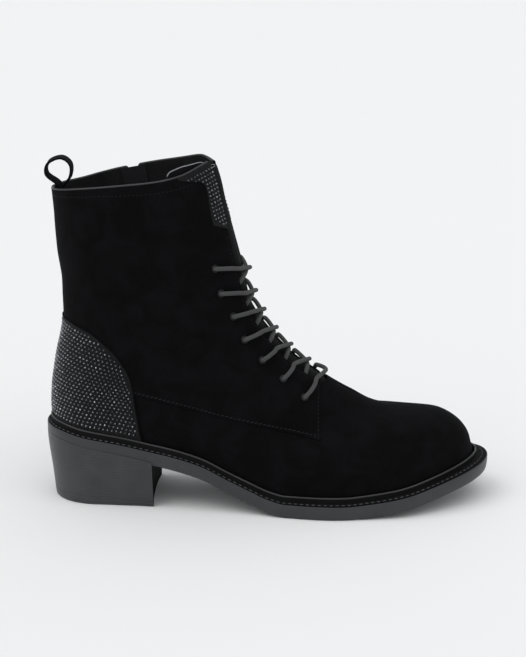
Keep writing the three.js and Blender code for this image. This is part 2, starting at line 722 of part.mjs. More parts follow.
// Lace: a crossing over each pair of eyelets and a bar over the lowest pair.
const laceSection = new THREE.Shape().absarc(0, 0, laceRadius, 0, 2 * Math.PI);
function laceTube(points) {
  const extrudePath = new THREE.CatmullRomCurve3(points, false, "centripetal");
  return new THREE.ExtrudeGeometry(laceSection, { extrudePath, steps: 7, curveSegments: 4, bevelEnabled: false });
}
const laceOverEyelet = gap + eyeletThickness + laceClearance + laceRadius;
const laceOverFacing = gap + laceClearance + laceRadius;
const facingSteps = 60;
const facingLevels = Array.from({ length: facingSteps + 1 }, (_, i) => mix(throatLevel, 1, i / facingSteps));
// Level at which the facing's edge comes nearest to a place on the skin.
function nearestEdge({ level, angle }) {
  const spot = skin(level, Math.min(angle, 2 * Math.PI - angle));
  const reach = (near) => skin(near, edgeAngle(near)).distanceTo(spot);
  return facingLevels.reduce((best, near) => (reach(near) < reach(best) ? near : best));
}
// Points over the facing from an eyelet to the facing's edge; side -1 is the outer one.
function overFacing({ level, angle }, edgeLevel, side) {
  const start = Math.min(angle, 2 * Math.PI - angle);
  return [0, 0.35, 0.7, 1].map((share) => {
    const turn = mix(start, edgeAngle(edgeLevel), share);
    const height = share === 0 ? laceOverEyelet : laceOverFacing;
    return offSkin(mix(level, edgeLevel, share), side < 0 ? turn : -turn, height);
  });
}
const eyeletOf = (pair, side) => eyelets.find((eyelet) => eyelet.pair === pair && eyelet.side === side);
const edgeLevels = Array.from({ length: eyeletPairs }, (_, pair) => nearestEdge(eyeletOf(pair, -1).place));
for (let pair = 1; pair < eyeletPairs; pair += 1) {
  const high = edgeLevels[pair];
  const low = mix(high, edgeLevels[pair - 1], 0.3);
  const crossing = [-1, 1].map((side) =>
    laceTube([
      ...overFacing(eyeletOf(pair, side).place, high, side),
      offSkin(mix(high, low, 0.6), 0, laceRadius / 2),
      offSkin(low, side * 0.7 * edgeAngle(low), -laceRadius / 4),
    ]),
  );
  addPiece(`lace_crossing_${pair}`, joined(crossing), cordFibre);
}
const barSides = [-1, 1].map((side) => overFacing(eyeletOf(0, side).place, edgeLevels[0], side));
const barMiddle = offSkin(edgeLevels[0], 0, laceOverFacing);
addPiece("lace_bar", laceTube([...barSides[0], barMiddle, ...barSides[1].reverse()]), cordFibre);

// Zip on the inner side: tape behind the wall, teeth in the slot, slider near the collar.
const zipColumns = [zipFrontColumn, zipBackColumn];
const zipFoot = Math.max(...zipColumns.map((column) => rowLevel(seamRow + 1, columns - column)));
const zipRows = 14;
function zipGrid(rows, half, out, low) {
  return Array.from({ length: rows + 1 }, (_, i) => {
    const level = mix(low, 1, i / rows);
    return [-half, half].map((x) => offSkin(level, 2 * Math.PI - angleAt(level, zipX(level) + x), out));
  });
}
function zipSheet(half, top, thickness, low) {
  return sheet(zipGrid(zipRows, half, top, low), zipGrid(zipRows, half, top - thickness, low), false, always);
}
addPiece("zip_teeth", zipSheet(zipGap / 2 - gap, -gap, zipToothDepth, zipFoot + 0.008), darkMetal);
addPiece("zip_tape", zipSheet(tapeWidth / 2, -wall - gap, tapeThickness, zipFoot - 0.03), lining);

// Frame of the slider: across the zip, along it upwards, and out of the boot.
const sliderLevel = 1 - sliderDrop / (backHeight - featherHeight(lastBackX));
const onZip = (level) => skin(level, 2 * Math.PI - angleAt(level, zipX(level)));
const sliderSpot = onZip(sliderLevel);
const zipUp = onZip(sliderLevel + 0.02).sub(onZip(sliderLevel - 0.02)).normalize();
const outward = skinNormal(sliderLevel, 2 * Math.PI - angleAt(sliderLevel, zipX(sliderLevel)));
const across = new THREE.Vector3().crossVectors(zipUp, outward).normalize();
const outOfBoot = new THREE.Vector3().crossVectors(across, zipUp).normalize();
const sliderFrame = new THREE.Matrix4().makeBasis(across, zipUp, outOfBoot).setPosition(sliderSpot);
function block(width, length, height, y, z) {
  const geometry = new THREE.BoxGeometry(width, length, height);
  geometry.translate(0, y, z + height / 2);
  return geometry;
}
const bridgeRoom = pullThickness + 2 * gap;
const sliderTop = gap + sliderThickness;
const postLength = bridgeBar;
const slider = joined([
  block(sliderWidth, sliderLength, sliderThickness, 0, gap),
  block(bridgeWidth, postLength, bridgeRoom + bridgeBar + 0.1, (bridgeSpan - postLength) / 2, sliderTop - 0.1),
  block(bridgeWidth, postLength, bridgeRoom + bridgeBar + 0.1, (postLength - bridgeSpan) / 2, sliderTop - 0.1),
  block(bridgeWidth, bridgeSpan, bridgeBar, 0, sliderTop + bridgeRoom),
]);
addPiece("zip_slider", slider.applyMatrix4(sliderFrame), silverMetal);

// Pull tab: a plate with a window whose top bar passes under the bridge, hanging down.
const pivotHeight = sliderTop + gap + pullThickness / 2;
const windowLength = bridgeSpan / 2 + 2 * gap;
const armWidth = 1.4;
const windowWidth = pullWidth - 2 * armWidth;
const pull = joined([
  block(pullWidth, pullThickness, pullThickness, 0, -pullThickness / 2),
  ...[-1, 1].map((side) => {
    const arm = block(armWidth, windowLength, pullThickness, -windowLength / 2, -pullThickness / 2);
    return arm.translate((side * (windowWidth + armWidth)) / 2, 0, 0);
  }),
  block(pullWidth, pullLength - windowLength, pullThickness, -(pullLength + windowLength) / 2, -pullThickness / 2),
]);
pull.translate(0, 0, pivotHeight);
addPiece("zip_pull", pull.applyMatrix4(sliderFrame), silverMetal);

// The origin is on the floor under the middle of the boot's box.
const box = new THREE.Box3().setFromObject(boot);
const centre = box.getCenter(new THREE.Vector3());
boot.position.set(-centre.x, -centre.y, -box.min.z);

export default boot;
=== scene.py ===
# Black suede lace-up ankle boot, the right one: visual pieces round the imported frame.
import math
import bmesh
import bpy
import numpy as np
from mathutils import Matrix, Vector


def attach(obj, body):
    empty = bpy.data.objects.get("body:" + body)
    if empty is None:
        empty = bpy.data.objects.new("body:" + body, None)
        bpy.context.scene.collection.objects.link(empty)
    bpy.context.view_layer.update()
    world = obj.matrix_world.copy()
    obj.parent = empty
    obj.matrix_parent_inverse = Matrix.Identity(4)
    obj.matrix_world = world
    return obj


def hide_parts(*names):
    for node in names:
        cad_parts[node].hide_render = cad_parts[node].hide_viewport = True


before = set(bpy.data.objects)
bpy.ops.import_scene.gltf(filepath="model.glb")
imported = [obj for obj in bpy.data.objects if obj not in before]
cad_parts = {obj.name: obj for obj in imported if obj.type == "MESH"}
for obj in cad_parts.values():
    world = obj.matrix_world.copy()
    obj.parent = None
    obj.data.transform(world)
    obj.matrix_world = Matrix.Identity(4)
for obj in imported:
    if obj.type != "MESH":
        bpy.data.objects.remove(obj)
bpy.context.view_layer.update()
print("frame loaded", len(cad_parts), "nodes")

# The boot's own sizes in mm. x runs from the back of the sole to the toe, y to the inner side, z up.
boot = {
    "origin": (-138.46, 0.22),  # where the boot's x and y start in the frame
    "lastLength": 264, "ballWidth": 85, "shaftWidth": 60, "collarDepth": 101, "collarSetback": 3.3,
    "backHeight": 194.5, "frontHeight": 215, "heelPitch": 39.5, "toeSpring": 15,
    "wall": 2, "seamStep": 0.8, "facingGap": 24, "throatLevel": 0.41,
    "seamBackHeight": 91, "seamFrontHeight": 46.8, "seamBow": 0.8,
    "weltWidth": 5.5, "weltThickness": 1.5, "beadHeight": 3, "beadWidth": 2.5,
    "soleThickness": 9, "heelLength": 68.5, "heelTaper": 3.4, "heelInset": 0.5, "insoleThickness": 2.4,
    "counterLength": 58, "counterHeight": 64, "gap": 0.3,
    "zipTopX": 54, "zipFootX": 84, "zipFootLevel": 0.23, "zipGap": 6.4,
}
gap = boot["gap"]
wall = boot["wall"]
throat = boot["throatLevel"]
soleStack = boot["soleThickness"] + boot["weltThickness"] + boot["beadHeight"] + gap
lastBackX = 0.75 * boot["weltWidth"]
lastToeX = lastBackX + boot["lastLength"]
collarFrontX = lastBackX + boot["collarSetback"] + boot["collarDepth"]


def mix(a, b, share):
    return a + (b - a) * share


def smoothStep(value, low, high):
    u = np.clip((value - low) / (high - low), 0, 1)
    return u * u * (3 - 2 * u)


# A smooth reading between rows, for single values or one column of values for each place.
def readTable(places, values, place):
    place = np.asarray(place, float)
    x = np.clip(place.ravel(), places[0], places[-1])
    widths = np.diff(places)
    steps = np.diff(values, axis=0) / (widths if values.ndim == 1 else widths[:, None])
    product = steps[:-1] * steps[1:]
    total = steps[:-1] + steps[1:]
    inner = np.where(product > 0, 2 * product / np.where(product > 0, total, 1), 0)
    slopes = np.concatenate([steps[:1], inner, steps[-1:]])
    i = np.clip(np.searchsorted(places, x, side="left") - 1, 0, len(places) - 2)
    width = widths[i]
    u = (x - places[i]) / width
    at = (lambda grid, k: grid[k]) if values.ndim == 1 else (lambda grid, k: grid[k, np.arange(x.size)])
    low = at(values, i) * (1 + 2 * u) * (1 - u) ** 2 + at(slopes, i) * width * u * (1 - u) ** 2
    high = at(values, i + 1) * u * u * (3 - 2 * u) - at(slopes, i + 1) * width * u * u * (1 - u)
    return (low + high).reshape(place.shape)


def smoothTable(rows):
    places = np.array([row[0] for row in rows], float)
    values = np.array([row[1] for row in rows], float)
    return lambda place: readTable(places, values, place)


# Underside of the sole: share of the last's length, share of the heel pitch and of the toe spring.
pitchShare = smoothTable([
    (0, 1), (0.03, 0.975), (0.075, 0.915), (0.12, 0.865), (0.17, 0.81), (0.225, 0.735), (0.3, 0.635), (0.36, 0.52),
    (0.42, 0.325), (0.47, 0.175), (0.52, 0.045), (0.555, 0), (1, 0)])
springShare = smoothTable([
    (0, 0), (0.69, 0), (0.76, 0.11), (0.83, 0.3), (0.895, 0.56), (0.95, 0.8), (1, 1), (1.05, 1.18)])


def soleBottom(x):
    share = (x - lastBackX) / boot["lastLength"]
    return boot["heelPitch"] * pitchShare(share) + boot["toeSpring"] * springShare(share)


def featherHeight(x):
    return soleBottom(x) + soleStack


def weltBase(x):
    return soleBottom(x) + boot["soleThickness"] + gap


def weltTop(x):
    return weltBase(x) + boot["weltThickness"]


# Back line and front line of the upper, then the collar's rise and the half widths.
backForward = smoothTable([
    (0, 0), (0.05, -0.004), (0.12, 0.003), (0.2, 0.023), (0.3, 0.048), (0.36, 0.067), (0.42, 0.081),
    (0.5, 0.083), (0.6, 0.079), (0.67, 0.071), (0.75, 0.057), (0.86, 0.044),
    (1, boot["collarSetback"] / boot["collarDepth"])])
frontTable = [
    (0, 0, 0), (0.043, 0.023, 0.059), (0.075, 0.054, 0.097), (0.108, 0.098, 0.126), (0.134, 0.138, 0.141),
    (0.188, 0.229, 0.151), (0.242, 0.32, 0.155), (0.286, 0.392, 0.17), (0.345, 0.48, 0.207),
    (0.39, 0.545, 0.243), (0.443, 0.62, 0.286), (0.496, 0.693, 0.33), (0.552, 0.759, 0.389),
    (0.611, 0.818, 0.457), (0.667, 0.862, 0.53), (0.729, 0.89, 0.616), (0.782, 0.909, 0.692),
    (0.85, 0.934, 0.789), (0.904, 0.959, 0.865), (0.958, 0.981, 0.941), (1, 1, 1)]
frontBack = smoothTable([(row[0], row[1]) for row in frontTable])
frontUp = smoothTable([(row[0], row[2]) for row in frontTable])
collarRise = {
    "outer": smoothTable([(0, 0), (0.21, 0.16), (0.45, 0.27), (0.68, 0.4), (0.8, 0.54), (0.9, 0.76), (1, 1)]),
    "inner": smoothTable([(0, 0), (0.13, 0.06), (0.28, 0.23), (0.37, 0.34), (0.56, 0.52), (0.76, 0.7), (1, 1)]),
}
stations = [0.08, 0.2, 0.42, 0.55, 0.69, 0.8, 0.9, 1]
widthRows = [
    (0, "ballWidth", [0.315, 0.335, 0.355, 0.43, 0.505, 0.485, 0.43, 0.4]),
    (0.1, "ballWidth", [0.34, 0.358, 0.365, 0.425, 0.49, 0.44, 0.37, 0.34]),
    (0.2, "ballWidth", [0.347, 0.362, 0.36, 0.39, 0.42, 0.4, 0.374, 0.353]),
    (0.3, "ballWidth", [0.341, 0.355, 0.36, 0.365, 0.36, 0.342, 0.327, 0.318]),
    (throat, "shaftWidth", [0.47, 0.483, 0.51, 0.515, 0.505, 0.49, 0.47, 0.45]),
    (0.7, "shaftWidth", [0.49, 0.505, 0.52, 0.525, 0.52, 0.515, 0.5, 0.49]),
    (1, "shaftWidth", [0.475, 0.48, 0.485, 0.49, 0.49, 0.485, 0.48, 0.475]),
]
widthCurves = [smoothTable([(s, v * boot[of]) for s, v in zip(stations, shares)]) for _, of, shares in widthRows]
widthLevels = np.array([row[0] for row in widthRows], float)
backRound = smoothTable([(0, 0.33), (0.2, 0.36), (throat, 0.38), (1, 0.38)])
frontRound = smoothTable([(0, 0.62), (0.1, 0.5), (0.2, 0.68), (0.3, 0.6), (throat, 0.6), (0.7, 0.62), (1, 0.55)])
swing = smoothTable([(0, 0), (0.25, -0.005), (0.45, -0.03), (0.7, 0), (0.85, 0.03), (1, 0.075), (1.05, 0.09)])
archSwing = smoothTable([(0.2, 0), (0.43, 0.036), (0.58, 0.032), (0.72, 0)])


def backX(level):
    return lastBackX + boot["collarDepth"] * backForward(level)


def backZ(level):
    return mix(featherHeight(lastBackX), boot["backHeight"], level)


def frontX(level):
    return mix(lastToeX, collarFrontX, frontBack(level))


def frontZ(level):
    return mix(featherHeight(lastToeX), boot["frontHeight"], frontUp(level))


def middleY(x, level):
    share = (x - lastBackX) / boot["lastLength"]
    return boot["ballWidth"] * (swing(share) - archSwing(share) * (1 - np.minimum(level / 0.3, 1)))


def roundEnd(distance, reach):
    u = np.clip(distance / reach, 0, 1)
    return np.sqrt(u * (2 - u))


def halfWidth(level, share):
    level, share = np.broadcast_arrays(np.asarray(level, float), np.asarray(share, float))
    values = np.stack([curve(share).ravel() for curve in widthCurves])
    return readTable(widthLevels, values, level.ravel()).reshape(level.shape)


def sideHeight(level, share, outerSide):
    low = featherHeight(lastBackX)
    toe = featherHeight(lastToeX)
    rise = np.where(outerSide, collarRise["outer"](share), collarRise["inner"](share))
    top = mix(boot["backHeight"], boot["frontHeight"], rise)
    across = mix(featherHeight(mix(lastBackX, lastToeX, share)), top, level)
    along = mix(backZ(level), frontZ(level), share)
    return across + along - mix(mix(low, toe, share), mix(boot["backHeight"], boot["frontHeight"], share), level)


# A point of the last: the angle runs from the front (0) over the outer side to the back (pi) and round.
def skin(level, angle):
    level, angle = np.broadcast_arrays(np.asarray(level, float), np.asarray(angle, float))
    outerSide = np.sin(angle) >= 0
    share = (1 + np.cos(angle)) / 2
    x = mix(backX(level), frontX(level), share)
    length = frontX(level) - backX(level)
    rounding = roundEnd(share * length, backRound(level) * boot["ballWidth"])
    rounding = rounding * roundEnd((1 - share) * length, frontRound(level) * boot["ballWidth"])
    y = middleY(x, level) + np.where(outerSide, -1, 1) * halfWidth(level, share) * rounding
    return np.stack([x, y, sideHeight(level, share, outerSide)], -1)


def unit(vectors):
    return vectors / np.maximum(np.linalg.norm(vectors, axis=-1, keepdims=True), 1e-9)


def skinNormal(level, angle):
    step = 0.006
    up = skin(np.minimum(level + step, 1), angle) - skin(np.maximum(level - step, 0), angle)
    around = skin(level, angle + step) - skin(level, angle - step)
    return unit(np.cross(up, around))


# Soft folds, listed one by one: start and end in the side view (x, z), half width, depth (+ is a ridge), sides.
folds = [
    ((62, 126), (112, 103), 7, -0.9, "both"), ((50, 138), (104, 117), 8, 0.6, "both"),
    ((98, 96), (140, 84), 8, -0.7, "both"), ((24, 139), (58, 131), 9, -0.7, "both"),
    ((20, 152), (62, 149), 10, 0.5, "both"), ((66, 176), (98, 160), 11, -0.6, "outer"),
    ((30, 178), (60, 186), 12, 0.5, "outer"), ((84, 140), (100, 152), 9, 0.5, "outer"),
    ((34, 170), (86, 156), 10, -0.6, "inner"), ((176, 64), (196, 30), 6, -0.45, "both"),
    ((190, 66), (207, 30), 6, 0.35, "both"), ((204, 62), (218, 28), 6, -0.35, "both"),
    ((120, 62), (168, 54), 9, 0.4, "both"), ((228, 34), (262, 37), 8, 0.35, "outer"),
]
waves = [(0.081, 0.055, 0.4, 0.28), (0.047, -0.093, 2.1, 0.25), (0.128, 0.031, 4.4, 0.16), (0.02, 0.15, 1.2, 0.16)]


def relief(places, outerSide):
    x, z = places[..., 0], places[..., 2]
    height = np.zeros_like(x)
    for (x0, z0), (x1, z1), half, depth, sides in folds:
        along = np.array([x1 - x0, z1 - z0], float)
        length = np.linalg.norm(along)
        along /= length
        s = (x - x0) * along[0] + (z - z0) * along[1]
        off = -(x - x0) * along[1] + (z - z0) * along[0]
        past = np.maximum(np.maximum(-s, s - length), 0)
        bow = 0.06 * length * (1 - (2 * np.clip(s / length, 0, 1) - 1) ** 2)
        bump = depth * np.exp(-((off + bow) / half) ** 2 - (past / (1.6 * half)) ** 2)
        if sides != "both":
            bump = bump * np.where(outerSide == (sides == "outer"), 1, 0)
        height += bump
    for kx, kz, phase, size in waves:
        height += size * np.sin(kx * x + kz * z + phase + np.where(outerSide, 0, 1.7))
    calm = smoothStep(z, 0, 1) * smoothStep(z - featherHeight(x), 1, 12)  # no folds at the feather line
    return height * calm


def offSkin(level, angle, out):
    places = skin(level, angle)
    lift = out + relief(places, np.sin(angle) >= 0)
    return places + skinNormal(level, angle) * lift[..., None]


def angleAt(level, x):
    share = (x - backX(level)) / (frontX(level) - backX(level))
    return np.arccos(np.clip(2 * share - 1, -1, 1))


# Level at which the line of angles given by angleOf(level) reaches height(x) in the side view.
def levelAtHeight(angleOf, height):
    low = np.zeros(np.shape(angleOf(np.zeros(1))))
    high = np.ones_like(low)
    for _ in range(26):
        level = (low + high) / 2
        spots = skin(level, angleOf(level))
        under = spots[..., 2] < height(spots[..., 0])
        low, high = np.where(under, level, low), np.where(under, high, level)
    return low


def locate(x, z, inner=False):
    x, z = np.broadcast_arrays(np.asarray(x, float), np.asarray(z, float))
    low, high = np.zeros(x.shape), np.ones(x.shape)
    for _ in range(26):
        level = (low + high) / 2
        share = np.clip((x - backX(level)) / (frontX(level) - backX(level)), 0, 1)
        under = sideHeight(level, share, not inner) < z
        low, high = np.where(under, level, low), np.where(under, high, level)
    angle = angleAt(low, x)
    return low, -angle if inner else angle


def edgeShare(level):
    length = frontX(level) - backX(level)
    half = boot["facingGap"] / 2 / halfWidth(level, np.ones_like(level))
    return 1 - frontRound(level) * boot["ballWidth"] * (1 - np.sqrt(1 - half * half)) / length


throatArray = np.array(throat, float)
throatShare = float(edgeShare(throatArray))
throatAngle = math.acos(2 * throatShare - 1)
quarterFrontX = float(mix(backX(throatArray), frontX(throatArray), throatShare))


def edgeAngle(level):
    level = np.asarray(level, float)
    above = np.arccos(2 * edgeShare(np.maximum(level, throat)) - 1)
    below = np.maximum(angleAt(level, quarterFrontX), throatAngle)
    return np.where(level >= throat, above, below)


def zipX(level):
    share = np.maximum((level - boot["zipFootLevel"]) / (1 - boot["zipFootLevel"]), -0.3)
    return mix(boot["zipFootX"], boot["zipTopX"], share)


def seamHeight(x):
    share = np.clip((x - lastBackX) / (quarterFrontX - lastBackX), 0, 1)
    return mix(boot["seamBackHeight"], boot["seamFrontHeight"], share ** boot["seamBow"])


def toFrame(places):
    return (places + np.array([boot["origin"][0], boot["origin"][1], 0])) / 1000


def hexColour(text):
    channels = [int(text[i:i + 2], 16) / 255 for i in (1, 3, 5)]
    return tuple(c / 12.92 if c <= 0.04045 else ((c + 0.055) / 1.055) ** 2.4 for c in channels) + (1,)


def newMaterial(name):
    material = bpy.data.materials.new(name)
    material.use_nodes = True
    material.node_tree.nodes.clear()
    return material


# Adds one node; links gives its inputs, stops the colours along a ramp, settings the rest.
def addNode(material, kind, links=None, stops=(), **settings):
    node = material.node_tree.nodes.new(kind)
    for key, value in settings.items():
        setattr(node, key, value)
    if stops:
        elements = node.color_ramp.elements
        while len(elements) < len(stops):
            elements.new(0.5)
        for element, (place, colour) in zip(elements, stops):
            element.position = place
            element.color = hexColour(colour) if isinstance(colour, str) else (colour, colour, colour, 1)
    for key, value in (links or {}).items():
        if isinstance(value, bpy.types.NodeSocket):
            material.node_tree.links.new(value, node.inputs[key])
        else:
            node.inputs[key].default_value = value
    return node


# Suede: split hide, buffed to a short nap. Strokes of the nap give soft lighter patches, fibres break the gloss.
def nappedSuede(name, dark, light):
    look = {"strokeMm": 16, "fibreMm": 0.7, "pileMm": 2.2}
    material = newMaterial(name)
    spot = addNode(material, "ShaderNodeTexCoord").outputs["Object"]
    stroke = addNode(material, "ShaderNodeTexNoise", {"Vector": spot, "Scale": 1000 / look["strokeMm"], "Detail": 4.0, "Distortion": 0.8})
    fibre = addNode(material, "ShaderNodeTexNoise", {"Vector": spot, "Scale": 1000 / look["fibreMm"], "Detail": 3.0, "Roughness": 0.7})
    pile = addNode(material, "ShaderNodeTexNoise", {"Vector": spot, "Scale": 1000 / look["pileMm"], "Detail": 3.0})
    strokes = addNode(material, "ShaderNodeValToRGB", {"Fac": stroke.outputs["Fac"]}, [(0.38, dark), (0.66, light)]).outputs["Color"]
    specks = addNode(material, "ShaderNodeValToRGB", {"Fac": fibre.outputs["Fac"]}, [(0.35, 0.55), (0.7, 1.0)]).outputs["Color"]
    colour = addNode(material, "ShaderNodeMix", {"Factor": 0.55, "A": strokes, "B": specks}, data_type="RGBA", blend_type="MULTIPLY")
    height = addNode(material, "ShaderNodeMath", {0: fibre.outputs["Fac"], 1: pile.outputs["Fac"]}, operation="ADD")
    bump = addNode(material, "ShaderNodeBump", {"Height": height.outputs[0], "Strength": 0.35, "Distance": 0.0004})
    shader = addNode(material, "ShaderNodeBsdfPrincipled", {
        "Base Color": colour.outputs["Result"], "Normal": bump.outputs["Normal"], "Roughness": 0.95,
        "Specular IOR Level": 0.07, "Sheen Weight": 0.05, "Sheen Roughness": 0.4, "Sheen Tint": hexColour("#8d8f99")})
    addNode(material, "ShaderNodeOutputMaterial", {"Surface": shader.outputs["BSDF"]})
    return material


# Lining and tongue: smooth finished leather. Fine pores and a satin film that catches the light on edges.
def finishedLeather(name, dark, light, roughness, shine=0.5):
    look = {"poreMm": 1.1, "creaseMm": 9}
    material = newMaterial(name)
    spot = addNode(material, "ShaderNodeTexCoord").outputs["Object"]
    pore = addNode(material, "ShaderNodeTexVoronoi", {"Vector": spot, "Scale": 1000 / look["poreMm"]}, feature="DISTANCE_TO_EDGE")
    crease = addNode(material, "ShaderNodeTexNoise", {"Vector": spot, "Scale": 1000 / look["creaseMm"], "Detail": 4.0})
    colour = addNode(material, "ShaderNodeValToRGB", {"Fac": crease.outputs["Fac"]}, [(0.35, dark), (0.7, light)]).outputs["Color"]
    gloss = addNode(material, "ShaderNodeValToRGB", {"Fac": crease.outputs["Fac"]}, [(0.3, roughness - 0.06), (0.7, roughness + 0.08)]).outputs["Color"]
    grain = addNode(material, "ShaderNodeValToRGB", {"Fac": pore.outputs["Distance"]}, [(0.0, 0.0), (0.25, 1.0)]).outputs["Color"]
    bump = addNode(material, "ShaderNodeBump", {"Height": grain, "Strength": 0.3, "Distance": 0.00025})
    shader = addNode(material, "ShaderNodeBsdfPrincipled", {
        "Base Color": colour, "Roughness": gloss, "Normal": bump.outputs["Normal"], "Specular IOR Level": shine})
    addNode(material, "ShaderNodeOutputMaterial", {"Surface": shader.outputs["BSDF"]})
    return material


# Sole and welt: moulded rubber. A satin skin with a faint mottle from the mould.
def mouldedRubber(name, dark, light, roughness, lineMm=0.0, shine=0.5):
    material = newMaterial(name)
    spot = addNode(material, "ShaderNodeTexCoord").outputs["Object"]
    mottle = addNode(material, "ShaderNodeTexNoise", {"Vector": spot, "Scale": 1000 / 14, "Detail": 5.0})
    grain = addNode(material, "ShaderNodeTexNoise", {"Vector": spot, "Scale": 1000 / 0.9, "Detail": 2.0})
    colour = addNode(material, "ShaderNodeValToRGB", {"Fac": mottle.outputs["Fac"]}, [(0.35, dark), (0.7, light)]).outputs["Color"]
    gloss = addNode(material, "ShaderNodeValToRGB", {"Fac": grain.outputs["Fac"]}, [(0.3, roughness - 0.05), (0.7, roughness + 0.08)]).outputs["Color"]
    height = grain.outputs["Fac"]
    if lineMm:  # stacked layers show as level lines round the heel
        stack = addNode(material, "ShaderNodeTexWave", {"Vector": spot, "Scale": 1000 / lineMm / 3.18, "Distortion": 0.4, "Detail": 1.0}, bands_direction="Z")
        lines = addNode(material, "ShaderNodeValToRGB", {"Fac": stack.outputs["Fac"]}, [(0.0, 0.8), (0.3, 1.0)]).outputs["Color"]
        colour = addNode(material, "ShaderNodeMix", {"Factor": 1.0, "A": colour, "B": lines}, data_type="RGBA", blend_type="MULTIPLY").outputs["Result"]
        height = addNode(material, "ShaderNodeMath", {0: stack.outputs["Fac"], 1: 1.0}, operation="MULTIPLY").outputs[0]
    bump = addNode(material, "ShaderNodeBump", {"Height": height, "Strength": 0.12, "Distance": 0.0003})
    shader = addNode(material, "ShaderNodeBsdfPrincipled", {
        "Base Color": colour, "Roughness": gloss, "Normal": bump.outputs["Normal"], "Specular IOR Level": shine})
    addNode(material, "ShaderNodeOutputMaterial", {"Surface": shader.outputs["BSDF"]})
    return material


# Stones: cut glass with a foiled back. Each facet carries its own random tone: the dark grey is the stones' own colour,
# the lighter facets up to near white are painted glints.
def foiledGlass(name):
    material = newMaterial(name)
    tone = addNode(material, "ShaderNodeAttribute", attribute_name="facetGlintTone").outputs["Fac"]
    colour = addNode(material, "ShaderNodeValToRGB", {"Fac": tone}, [(0.0, "#2c2d31"), (0.5, "#5c5e64"), (0.8, "#8d8f95"), (1.0, "#e2e4e8")]).outputs["Color"]
    shader = addNode(material, "ShaderNodeBsdfPrincipled", {
        "Base Color": colour, "Metallic": 0.75, "Roughness": 0.12, "Coat Weight": 0.6, "Coat Roughness": 0.04})
    addNode(material, "ShaderNodeOutputMaterial", {"Surface": shader.outputs["BSDF"]})
    return material


# Woven cloth on UV in mm: two thread directions over and under each other.
def wovenCloth(name, dark, light, threadMm, roughness=0.85):
    material = newMaterial(name)
    flat = addNode(material, "ShaderNodeUVMap", uv_map="surface").outputs["UV"]
    turned = addNode(material, "ShaderNodeMapping", {"Vector": flat, "Rotation": (0, 0, math.radians(45))}).outputs["Vector"]
    warp = addNode(material, "ShaderNodeTexWave", {"Vector": turned, "Scale": 1 / threadMm / 3.18}, bands_direction="X")
    weft = addNode(material, "ShaderNodeTexWave", {"Vector": turned, "Scale": 1 / threadMm / 3.18}, bands_direction="Y")
    over = addNode(material, "ShaderNodeMath", {0: warp.outputs["Fac"], 1: weft.outputs["Fac"]}, operation="MAXIMUM")
    colour = addNode(material, "ShaderNodeValToRGB", {"Fac": over.outputs[0]}, [(0.25, dark), (0.85, light)]).outputs["Color"]
    bump = addNode(material, "ShaderNodeBump", {"Height": over.outputs[0], "Strength": 0.7, "Distance": 0.0004})
    shader = addNode(material, "ShaderNodeBsdfPrincipled", {
        "Base Color": colour, "Normal": bump.outputs["Normal"], "Roughness": roughness, "Specular IOR Level": 0.25,
        "Sheen Weight": 0.04, "Sheen Roughness": 0.5})
    addNode(material, "ShaderNodeOutputMaterial", {"Surface": shader.outputs["BSDF"]})
    return material


# Metal: plated or lacquered, with hairline wear that only changes the gloss.
def finishedMetal(name, colour, metallic, roughness):
    material = newMaterial(name)
    spot = addNode(material, "ShaderNodeTexCoord").outputs["Object"]
    wear = addNode(material, "ShaderNodeTexNoise", {"Vector": spot, "Scale": 1000 / 1.6, "Detail": 4.0})
    gloss = addNode(material, "ShaderNodeValToRGB", {"Fac": wear.outputs["Fac"]}, [(0.35, roughness), (0.75, roughness + 0.12)]).outputs["Color"]
    shader = addNode(material, "ShaderNodeBsdfPrincipled", {
        "Base Color": hexColour(colour), "Metallic": metallic, "Roughness": gloss})
    addNode(material, "ShaderNodeOutputMaterial", {"Surface": shader.outputs["BSDF"]})
    return material


finish = {
    "suede": nappedSuede("black_suede_buffed_nap", "#09090a", "#0f0f11"),
    "loopSuede": nappedSuede("black_suede_strap", "#0c0c0e", "#131315"),
    "lining": finishedLeather("black_lining_leather", "#121214", "#1b1b1d", 0.6, 0.25),
    "tongue": finishedLeather("black_tongue_leather", "#08080a", "#0e0e10", 0.7, 0.09),
    "topline": finishedLeather("black_folded_topline", "#1b1b1d", "#262629", 0.4),
    # tongue edge: the pale grey on the black leather edge is a painted highlight along its glossy top
    "edge": finishedLeather("tongue_edge_painted_highlight", "#5a5b60", "#8b8c92", 0.35),
    "welt": mouldedRubber("moulded_rubber_welt", "#050506", "#0a0a0b", 0.7, shine=0.12),
    # welt crest: the welt's rubber coloured lighter, a painted highlight along the bead's top
    "crest": mouldedRubber("welt_bead_painted_highlight", "#1d1d1f", "#29292b", 0.35),
    "sole": mouldedRubber("moulded_rubber_sole", "#27282b", "#303134", 0.42),
    "heel": mouldedRubber("moulded_rubber_stacked_heel", "#2b2c2f", "#353639", 0.4, lineMm=1.9),
    # heel breast: painted shade, the block's rubber coloured near-black where the breast lies in shade
    "breast": mouldedRubber("heel_breast_painted_shade", "#050506", "#080809", 0.85, shine=0.06),
    "stone": foiledGlass("foiled_cut_glass_stones"),
    "stoneCloth": wovenCloth("dark_stone_backing_cloth", "#060607", "#0d0d0f", 0.6),
    "cord": wovenCloth("braided_lace_cord", "#262626", "#555556", 0.55),
    "tape": wovenCloth("woven_zip_tape", "#101012", "#1f1f22", 0.7),
    "thread": finishedLeather("waxed_sewing_thread", "#151518", "#202024", 0.6, 0.15),
    "seamThread": finishedLeather("waxed_seam_thread", "#17171a", "#242428", 0.6, 0.15),
    "weltThread": finishedLeather("waxed_welt_thread", "#323236", "#48484c", 0.5, 0.35),
    "eyelet": finishedMetal("black_lacquered_brass", "#1a1a1c", 0.6, 0.3),
    "teeth": finishedMetal("black_plated_zip_teeth", "#1b1b1e", 0.5, 0.35),
    "nickel": finishedMetal("polished_nickel_plate", "#c9cbce", 1.0, 0.16),
}
print("materials made", len(finish))


